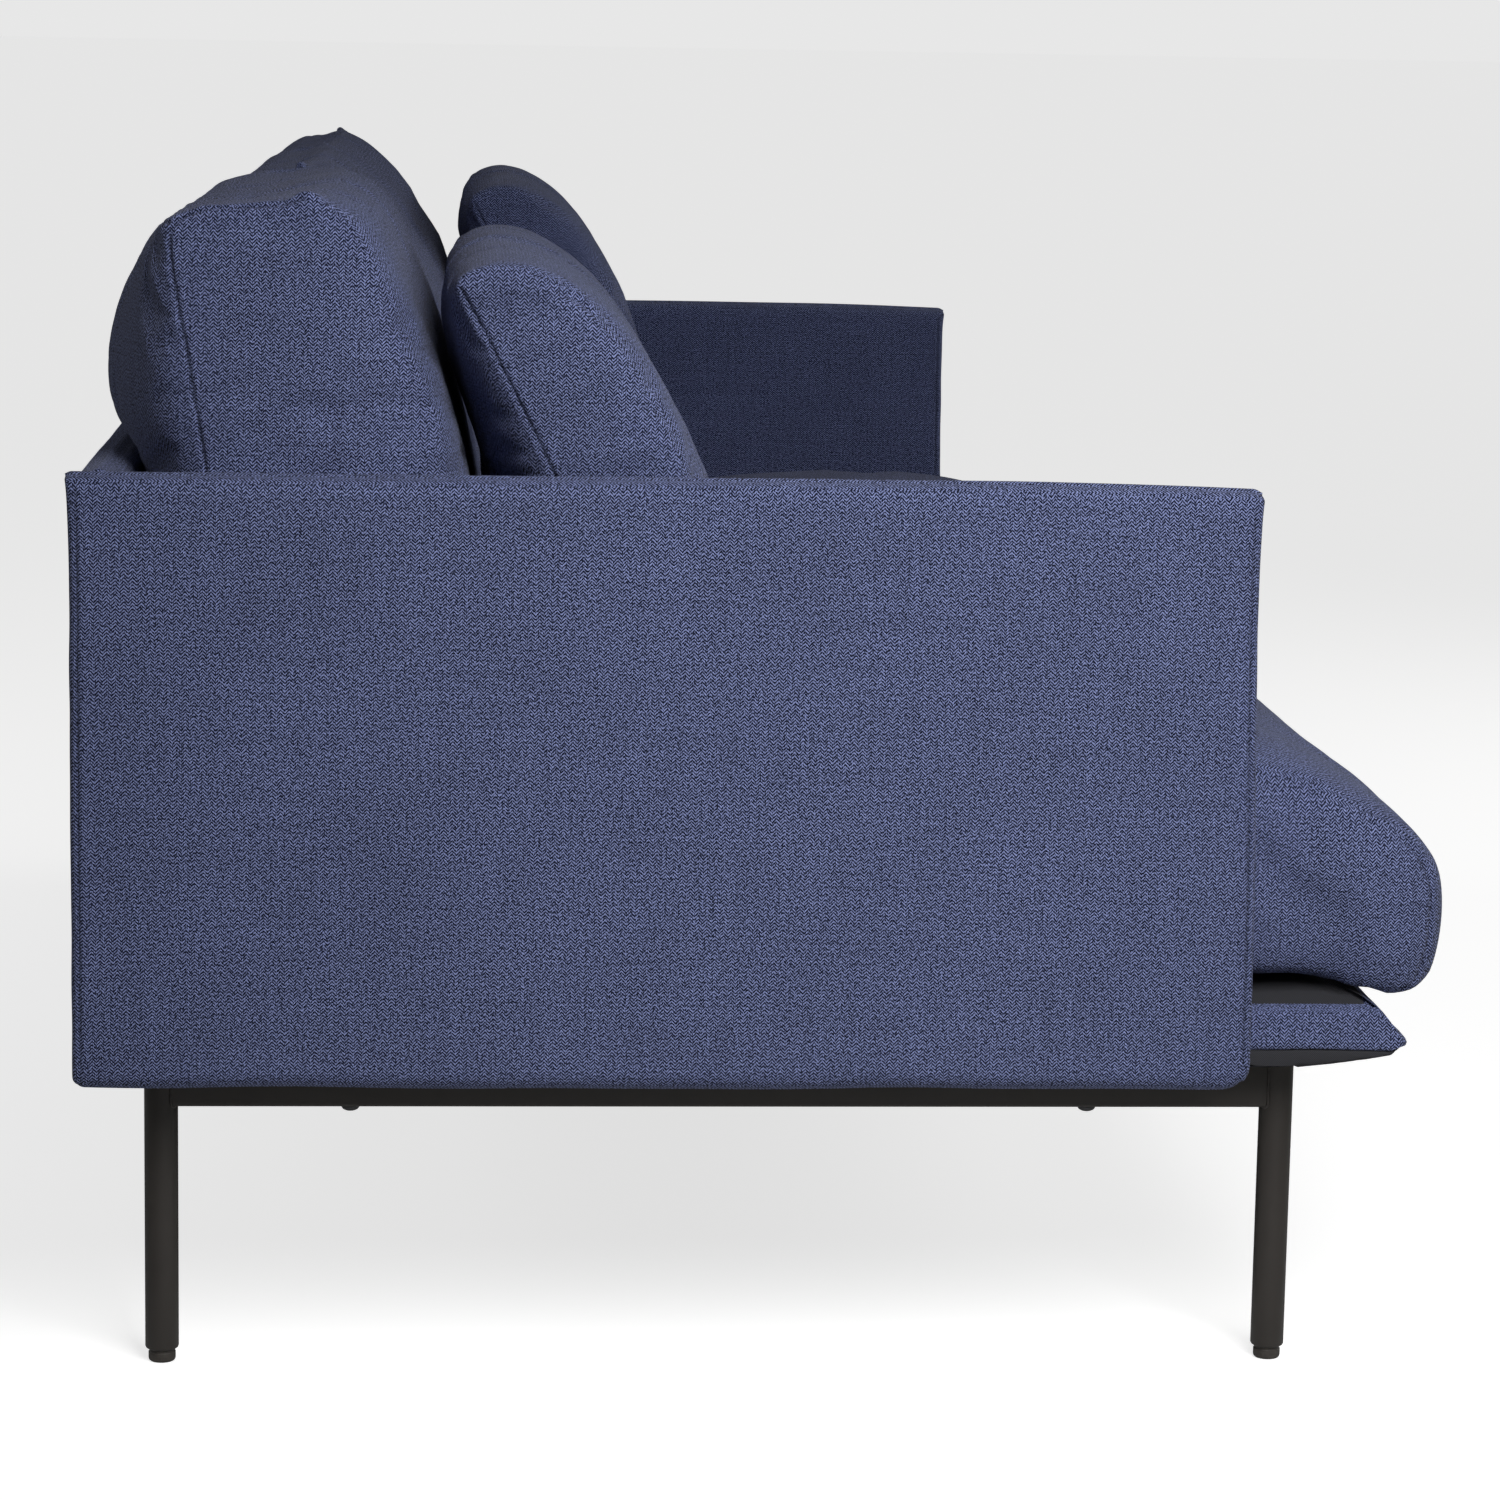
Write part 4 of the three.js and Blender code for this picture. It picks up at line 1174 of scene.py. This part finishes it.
# The slider and its pull lie at the end of the run.
slider_points, slider_faces = [], []
for x, y, z, long, deep, tall in (
        (zip_hi[0] - 0.012, zip_hi[1] + 0.0008, zip_middle, 0.0090, 0.0022, 0.0075),
        (zip_hi[0] - 0.028, zip_hi[1] + 0.0014, zip_middle, 0.0260, 0.0009, 0.0036)):
    first = len(slider_points)
    slider_points += [(x + dx * long / 2, y + dy * deep / 2, z + dz * tall / 2)
                      for dz in (-1, 1) for dx, dy in ((-1, -1), (1, -1), (1, 1), (-1, 1))]
    slider_faces += [[first + i for i in face] for face in capped(2, 4)]
slider = new_piece("seat_zip_slider", slider_points, slider_faces, zinc_plate)
soft_edges = slider.modifiers.new("soft_edges", "BEVEL")
soft_edges.width, soft_edges.segments = 0.0004, 3
apply_modifiers(slider)
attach(slider, "seat_cushion")


# ---- back cushions -----------------------------------------------------------
# Loose fibre-filled cushions: a flat end panel sewn on at the rear and the top,
# a front that rolls round without a seam, and a plump rear that swells over the back.
BACK_KNOTS = (
    (127, 471, 84, 471, 200), (112, 575, 58, 575, 200), (96, 668, 42, 668, 200),
    (88, 722, 8, 722, 300), (79, 780, 13, 780, 300), (70, 831, 36, 828, 260),
    (66, 866, 55, 858, 220), (92, 879, 90, 866, 160), (124, 883, 128, 871, 120),
    (170, 883, 180, 884, 90), (190, 856, 217, 864, 80), (212, 794, 246, 800, 70),
    (235, 724, 272, 728, 60), (254, 640, 292, 640, 60), (263, 560, 302, 560, 60),
    (262, 500, 300, 500, 60), (240, 472, 280, 471, 60), (180, 471, 180, 471, 60),
)
BACK_CORNERS = (0, 6, 9)
SEAT_TOP = 0.4712
BACK_INNER = 0.0402      # the back panel's inner face, measured forwards
BACK_TOP = 0.690


def within_back(points):
    """Keeps a back cushion off the seat, the back panel and the arms."""
    points = points.copy()
    points[:, 2] = np.maximum(points[:, 2], SEAT_TOP)
    over_panel = np.clip((points[:, 2] - BACK_TOP) / 0.03, 0, 1)
    forward = np.maximum(BACK_FACE_Y - points[:, 1], BACK_INNER - 0.040 * over_panel)
    points[:, 1] = BACK_FACE_Y - np.maximum(forward, 0.002)
    return points


def copy_of(piece, name, move):
    """Another cushion from the same pattern; a mirrored one has its faces turned back."""
    mesh = piece.data.copy()
    mesh.name = name
    mesh.transform(move)
    if move.determinant() < 0:
        mesh.flip_normals()
    twin = bpy.data.objects.new(name, mesh)
    scene.collection.objects.link(twin)
    return twin


lo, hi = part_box("back_cushion_left_cover")
cushion_rings = crowned_rings(BACK_KNOTS, BACK_CORNERS, lo[0] + 0.002, hi[0] - 0.002)
cushion_seams = [inset_seam(r, 0, 9, 6) for r in (cushion_rings[0], cushion_rings[-1])]
cushion_seams += [np.array([r[6 * PER_SPAN] for r in cushion_rings])]
left_cushion = stuffed(
    "back_cushion_left", cushion_rings, cushion_seams, 0.007, 4.0, within_back,
    corner_tips(cushion_rings, ((9, 0.006),)))
middle_of_left = (lo[0] + hi[0]) / 2
# At these heights: the rear and front of the left cushion, then of the other two,
# which have slumped to a narrower top.
SLUMP_HEIGHTS = (.700, .766, .800, .8185, .840, .864, .884)
SLUMP = (
    (.010, .013, .022, .030, .042, .060, .090),
    (.283, .267, .254, .244, .234, .222, .190),
    (.010, .017, .030, .040, .056, .076, .100),
    (.283, .264, .241, .229, .211, .186, .152),
)
for place, move in (
    ("middle", Matrix.Translation((-middle_of_left, 0, 0))),
    ("right", Matrix.Scale(-1, 4, (1, 0, 0))),
    ("left", None),
):
    name = f"back_cushion_{place}"
    cushion = left_cushion if move is None else copy_of(left_cushion, name, move)
    if move is not None:
        spots = positions(cushion.data)
        rear, front, new_rear, new_front = (
            np.interp(spots[:, 2], SLUMP_HEIGHTS, row) for row in SLUMP)
        share = (y_of(spots[:, 1]) - rear) / (front - rear)
        spots[:, 1] = y_of(new_rear + share * (new_front - new_rear))
        set_positions(cushion.data, spots)
    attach(cushion, name)
    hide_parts(f"{name}_cover", f"{name}_filling")


# ---- pillows -----------------------------------------------------------------
# Smaller cushions of the same make that lean on the end back cushions, softer
# and rounder, with the seam down the rear edge of each end.
PILLOW_KNOTS = (
    (418, 485, 394, 476, 60), (404, 540, 346, 545, 150), (380, 610, 314, 610, 200),
    (348, 681, 295, 681, 220), (308, 759, 268, 765, 220), (277, 819, 266, 812, 150),
    (290, 829, 281, 832, 110), (304, 834, 303, 840, 100), (322, 831, 333, 837, 90),
    (354, 810, 374, 815, 80), (388, 771, 408, 780, 60), (415, 725, 438, 729, 60),
    (436, 670, 463, 673, 60), (456, 610, 485, 610, 60), (470, 550, 498, 550, 60),
    (472, 500, 500, 500, 50), (460, 476, 480, 473, 50),
)
PILLOW_CORNERS = (0, 5)


def within_pillow(points):
    points = points.copy()
    points[:, 2] = np.maximum(points[:, 2], SEAT_TOP)
    return points


lo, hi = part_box("pillow_left_cover")
pillow_rings = crowned_rings(PILLOW_KNOTS, PILLOW_CORNERS, lo[0] + 0.002, hi[0] - 0.002)
pillow_seams = [along_ring(r, 0, 5) for r in (pillow_rings[0], pillow_rings[-1])]
left_pillow = stuffed(
    "pillow_left", pillow_rings, pillow_seams, 0.007, 4.0, within_pillow,
    corner_tips(pillow_rings, ((5, 0.006),)))
# The right one leans 18 mm further forward at the top and stands 1.8 % taller.
lean = Matrix.Identity(4)
lean[1][2], lean[1][3] = -0.018 / 0.37, 0.018 / 0.37 * 0.471
lean[2][2], lean[2][3] = 1.018, -0.018 * 0.471
for place, move in (("right", lean @ Matrix.Scale(-1, 4, (1, 0, 0))), ("left", None)):
    name = f"pillow_{place}"
    pillow = left_pillow if move is None else copy_of(left_pillow, name, move)
    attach(pillow, name)
    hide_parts(f"{name}_cover", f"{name}_filling")
